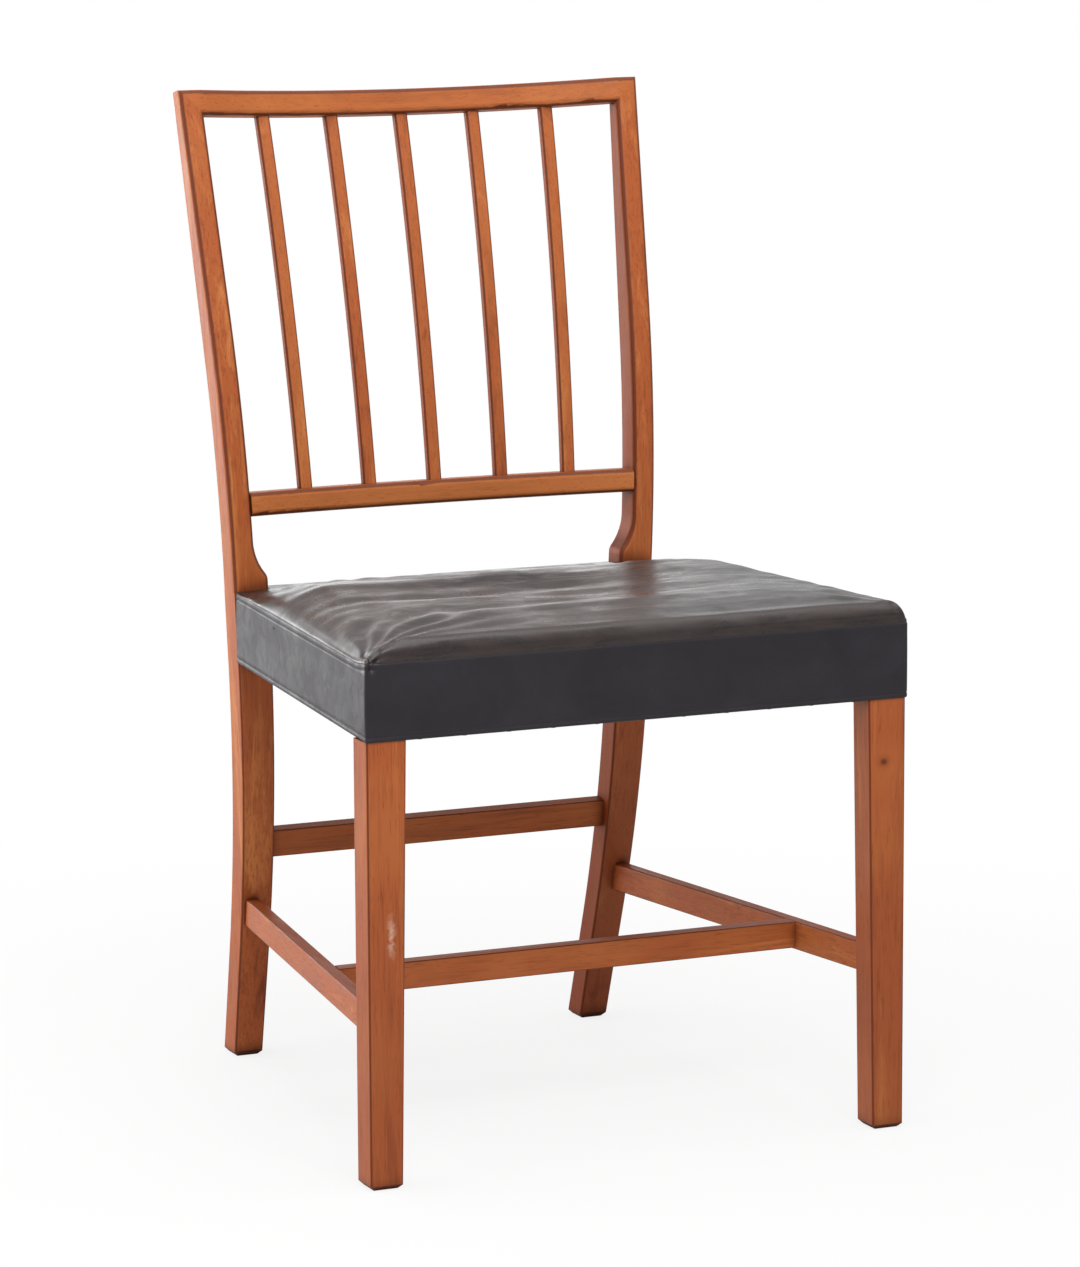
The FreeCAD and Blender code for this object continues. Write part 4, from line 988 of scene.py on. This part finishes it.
class CHAIR_OT_stage(bpy.types.Operator):
    """Floor, lights, white surround and camera"""
    bl_idname = "chair.stage"
    bl_label = "Studio"

    def execute(self, context):
        scene = context.scene
        stage = scene.chair_stage
        scene.view_settings.view_transform = "Standard"
        self.floor()
        self.world(scene)
        for lamp in LAMPS:
            self.lamp(*lamp)
        data = bpy.data.cameras.new("camera")
        data.sensor_fit = "AUTO"
        data.sensor_width = SENSOR
        data.lens = stage.focal
        camera = bpy.data.objects.new("camera", data)
        scene.collection.objects.link(camera)
        camera.matrix_world = (Matrix.Translation(stage.eye) @ Matrix.Rotation(stage.yaw, 4, "Z")
                               @ Matrix.Rotation(math.radians(90) + stage.pitch, 4, "X")
                               @ Matrix.Rotation(stage.roll, 4, "Z"))
        scene.camera = camera
        return {"FINISHED"}

    def floor(self):
        corners = [(x * FLOOR_HALF, y * FLOOR_HALF, 0) for x, y in ((-1, -1), (1, -1), (1, 1), (-1, 1))]
        mesh = mesh_from("floor", corners, [(0, 1, 2, 3)])
        floor = bpy.data.objects.new("floor", mesh)
        bpy.context.scene.collection.objects.link(floor)
        s = Shader("pale_floor")
        speck = s.noise(s.place(), 3.0, 2.0)
        matt = s.node("BsdfDiffuse", {"Color": s.ramp(speck, (0.3, 0.74), (0.7, 0.76))})
        glow = s.node("Emission", {"Color": (1.0, 1.0, 1.0), "Strength": 1.0})
        away = s.node("VectorMath", {0: s.place()}, operation="LENGTH").outputs["Value"]
        white = s.spread(away, WHITE_FROM, WHITE_TO, WHITE_UNDER, 1.0)
        seen = s.math("MULTIPLY", s.node("LightPath").outputs["Is Camera Ray"], white)
        both = s.node("MixShader", {0: seen, 1: matt.outputs[0], 2: glow.outputs[0]})
        s.tree.links.new(both.outputs[0], s.out.inputs["Surface"])
        floor.data.materials.append(s.material)

    def world(self, scene):
        world = bpy.data.worlds.new("white_surround")
        world.use_nodes = True
        tree = world.node_tree
        tree.nodes.clear()
        out = tree.nodes.new("ShaderNodeOutputWorld")
        path = tree.nodes.new("ShaderNodeLightPath")
        seen = path.outputs["Is Camera Ray"]
        for ray in ("Is Glossy Ray", "Is Transmission Ray"):
            most = tree.nodes.new("ShaderNodeMath")
            most.operation = "MAXIMUM"
            tree.links.new(seen, most.inputs[0])
            tree.links.new(path.outputs[ray], most.inputs[1])
            seen = most.outputs[0]
        mix = tree.nodes.new("ShaderNodeMixShader")
        tree.links.new(seen, mix.inputs[0])
        for socket, colour, strength in ((1, FILL_COLOUR, FILL_STRENGTH), (2, SURROUND_COLOUR, 1.0)):
            light = tree.nodes.new("ShaderNodeBackground")
            light.inputs["Color"].default_value = colour
            light.inputs["Strength"].default_value = strength
            tree.links.new(light.outputs[0], mix.inputs[socket])
        tree.links.new(mix.outputs[0], out.inputs["Surface"])
        scene.world = world

    def lamp(self, name, place, aim, size, power):
        data = bpy.data.lights.new(name, "AREA")
        data.shape = "RECTANGLE"
        data.size, data.size_y = size
        data.energy = power
        lamp = bpy.data.objects.new(name, data)
        bpy.context.scene.collection.objects.link(lamp)
        lamp.location = place
        lamp.rotation_euler = (Vector(aim) - Vector(place)).to_track_quat("-Z", "Y").to_euler()
        lamp.visible_camera = False


class CHAIR_OT_show_wood(bpy.types.Operator):
    """Polished wood on the legs, posts, rails, slats and stretchers"""
    bl_idname = "chair.show_wood"
    bl_label = "Show wood"

    def execute(self, context):
        finish = context.scene.chair_finish
        seed = context.scene.chair_stage.seed
        for axis, members in ((2, UPRIGHT + SLATS), (0, ACROSS), (1, ALONG)):
            for member in members:
                seed += 1
                wood = show_wood("show_wood_" + member, axis, seed, finish, MARKS.get(member, ()),
                                 PAINTED_LIGHT_SHARES.get(member, 0.0), LOW_SHADE_SHARES.get(member, 0.0),
                                 SHADED_SIDES.get(member, ()))
                dress(member, wood)
        return {"FINISHED"}


class CHAIR_OT_hidden_frame(bpy.types.Operator):
    """Finishes of the rails, blocks, tongues and fixings that are out of sight"""
    bl_idname = "chair.hidden_frame"
    bl_label = "Hidden frame"

    def execute(self, context):
        wood = plain_wood("sawn_wood")
        for member in INNER_RAILS:
            dress(member, wood)
        steel = blued_steel("tack_steel")
        for member in FIXINGS:
            dress(member, steel)
        return {"FINISHED"}


class CHAIR_OT_webbing(bpy.types.Operator):
    """Laced straps across the seat frame, and the hessian on them"""
    bl_idname = "chair.webbing"
    bl_label = "Webbing"

    def execute(self, context):
        jute = woven("jute_webbing", (0.20, 0.13, 0.06), (0.46, 0.34, 0.19), 0.0022)
        straps = []
        for way, crossing, rails in (("long", "cross", ["front_seat_rail", "back_seat_rail"]),
                                     ("cross", "long", ["left_seat_rail", "right_seat_rail"])):
            for count in range(1, STRAP_COUNT + 1):
                node = webbing_node(way, count)
                # A strap goes over every other strap that it meets
                over = [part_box(webbing_node(crossing, other)) for other in range(1, STRAP_COUNT + 1)
                        if (count + other) % 2 == (0 if way == "long" else 1)]
                mesh, flat = strap_mesh("%s_strap_%d" % (way, count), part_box(node), over)
                strap = new_piece(mesh.name, mesh, jute)
                thicken(strap, STRAP_THICK)
                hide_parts(node)
                straps.append(strap.name)
        self.hessian(straps)
        return {"FINISHED"}

    def hessian(self, straps):
        low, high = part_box("hessian")
        inset = seat_half(low[1]) - high[0]
        post_front = POST_FRONT - HESSIAN_POST_GAP
        post_in = POST_INNER - HESSIAN_SIDE_GAP
        right = [(high[0], low[1]), (seat_half(post_front) - inset, post_front), (post_in, post_front),
                 (post_in, high[1])]
        mesh, area = gridded_sheet("hessian_sheet", right, (low[2] + high[2]) / 2)
        points = points_of(mesh)
        x, y, z = points.T
        # It dips between the straps, where nothing is under it
        open_ways = 1.0
        for axis, way in ((0, "long"), (1, "cross")):
            for count in range(1, STRAP_COUNT + 1):
                start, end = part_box(webbing_node(way, count))
                away = np.abs(points[:, axis] - (start[axis] + end[axis]) / 2)
                open_ways = open_ways * step(away, HESSIAN_HELD, HESSIAN_FREE)
        edge = from_edge(x, y, (low, high), inset)
        z -= HESSIAN_DIP * open_ways * step(edge, *HESSIAN_EDGE)
        set_points(mesh, points)
        smooth(mesh)
        weave = woven("hessian_weave", (0.17, 0.11, 0.05), (0.40, 0.29, 0.15), 0.0016)
        sheet = new_piece("hessian_sheet", mesh, weave)
        thicken(sheet, high[2] - low[2])
        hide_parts("hessian")


class CHAIR_OT_cushion(bpy.types.Operator):
    """Stuffed pad under its worn leather cover"""
    bl_idname = "chair.cushion"
    bl_label = "Seat cushion"

    def execute(self, context):
        seat = context.scene.chair_seat
        finish = context.scene.chair_finish
        mesh = cushion_mesh(seat)
        main = tuple(finish.hide_main)
        worn = tuple(finish.hide_worn)
        hide = leather("top_leather", shaded(main, 0.65), main, worn, 2, top=True)
        cushion = new_piece("seat_cushion", mesh, hide)
        finer = cushion.modifiers.new("Finer", "SUBSURF")
        finer.levels = 1
        finer.render_levels = 1
        cushion.data = settled(cushion)
        cushion.modifiers.clear()
        post_notches(cushion.data)
        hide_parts("seat_pad", "seat_top_leather")
        return {"FINISHED"}


class CHAIR_OT_bands(bpy.types.Operator):
    """Leather drawn over the seat rails and turned under them"""
    bl_idname = "chair.bands"
    bl_label = "Leather bands"

    def execute(self, context):
        finish = context.scene.chair_finish
        band = tuple(finish.hide_band)
        hide = leather("band_leather", shaded(band, 0.75), band, tuple(finish.hide_worn), 7)
        leg_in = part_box("right_front_leg")[0][0] - BAND_LEG_GAP
        leg_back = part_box("right_front_leg")[1][1] + BAND_LEG_GAP

        def front_under(point):
            """The turn under the rails, which the front legs interrupt."""
            over_leg = abs(point.x) > leg_in and point.y < leg_back
            return 0.0 if over_leg else UNDER_TURN

        path = seat_path()
        front_mesh = swept_band("front_and_side_bands", path, front_under)
        front = new_piece("front_and_side_bands", front_mesh, hide)
        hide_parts("seat_leather_band")
        low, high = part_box("back_leather_band")
        line = [Vector((high[0] + (low[0] - high[0]) * count / BAND_BACK_POINTS, high[1], 0))
                for count in range(BAND_BACK_POINTS + 1)]
        back_mesh = swept_band("back_band", line, lambda point: UNDER_TURN)
        back = new_piece("back_band", back_mesh, hide)
        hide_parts("back_leather_band")
        return {"FINISHED"}


class CHAIR_OT_bottom_cloth(bpy.types.Operator):
    """Thin black cloth tacked under the seat"""
    bl_idname = "chair.bottom_cloth"
    bl_label = "Bottom cloth"

    def execute(self, context):
        seat = context.scene.chair_seat
        low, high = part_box("bottom_cloth")
        inset = seat_half(low[1]) - high[0]
        leg_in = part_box("right_front_leg")[0][0] - CLOTH_GAP
        leg_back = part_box("right_front_leg")[1][1] + CLOTH_GAP
        post_front = BAND_BACK - CLOTH_GAP
        post_in = POST_INNER - CLOTH_POST_GAP
        right = [(leg_in, low[1]), (leg_in, leg_back), (seat_half(leg_back) - inset, leg_back),
                 (seat_half(post_front) - inset, post_front), (post_in, post_front), (post_in, high[1])]
        mesh, area = gridded_sheet("bottom_cloth_sheet", right, (low[2] + high[2]) / 2)
        points = points_of(mesh)
        x, y, z = points.T
        edge = from_edge(x, y, (low, high), inset)
        inside = step(edge, *CLOTH_FREE)
        belly = np.clip(1 - (x / BELLY_HALF[0]) ** 2, 0, 1)
        belly = belly * np.clip(1 - ((y - BELLY_Y) / BELLY_HALF[1]) ** 2, 0, 1)
        z -= inside * (seat.cloth_sag * belly + CLOTH_WAVE * ripple(x, y, CLOTH_SEED, CLOTH_PITCH))
        z += CLOTH_EDGE * step(edge, *CLOTH_TURN) * (1 - inside)
        set_points(mesh, points)
        smooth(mesh)
        weave = woven("black_cloth", (0.006, 0.006, 0.0065), (0.030, 0.029, 0.030), 0.0009)
        cloth = new_piece("bottom_cloth_sheet", mesh, weave)
        thicken(cloth, high[2] - low[2])
        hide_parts("bottom_cloth")
        return {"FINISHED"}


class CHAIR_PT_panel(bpy.types.Panel):
    """Steps that dress the chair"""
    bl_label = "Slat Back Chair"
    bl_idname = "CHAIR_PT_panel"
    bl_space_type = "VIEW_3D"
    bl_region_type = "UI"
    bl_category = "Chair"

    def draw(self, context):
        for operator in OPERATORS:
            self.layout.operator(operator.bl_idname)
        for group in ("chair_finish", "chair_seat", "chair_stage"):
            settings = getattr(context.scene, group)
            for name in settings.__annotations__:
                self.layout.prop(settings, name)


OPERATORS = (CHAIR_OT_stage, CHAIR_OT_show_wood, CHAIR_OT_hidden_frame, CHAIR_OT_webbing, CHAIR_OT_cushion,
             CHAIR_OT_bands, CHAIR_OT_bottom_cloth)
CLASSES = (ChairFinish, ChairSeat, ChairStage) + OPERATORS + (CHAIR_PT_panel,)


def register():
    for made in CLASSES:
        bpy.utils.register_class(made)
    bpy.types.Scene.chair_finish = PointerProperty(type=ChairFinish)
    bpy.types.Scene.chair_seat = PointerProperty(type=ChairSeat)
    bpy.types.Scene.chair_stage = PointerProperty(type=ChairStage)


def unregister():
    del bpy.types.Scene.chair_stage
    del bpy.types.Scene.chair_seat
    del bpy.types.Scene.chair_finish
    for made in reversed(CLASSES):
        bpy.utils.unregister_class(made)


def main():
    register()
    bpy.ops.chair.stage()
    bpy.ops.chair.show_wood()
    bpy.ops.chair.hidden_frame()
    bpy.ops.chair.webbing()
    bpy.ops.chair.cushion()
    bpy.ops.chair.bands()
    bpy.ops.chair.bottom_cloth()
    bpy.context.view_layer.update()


if __name__ == "__main__":
    main()
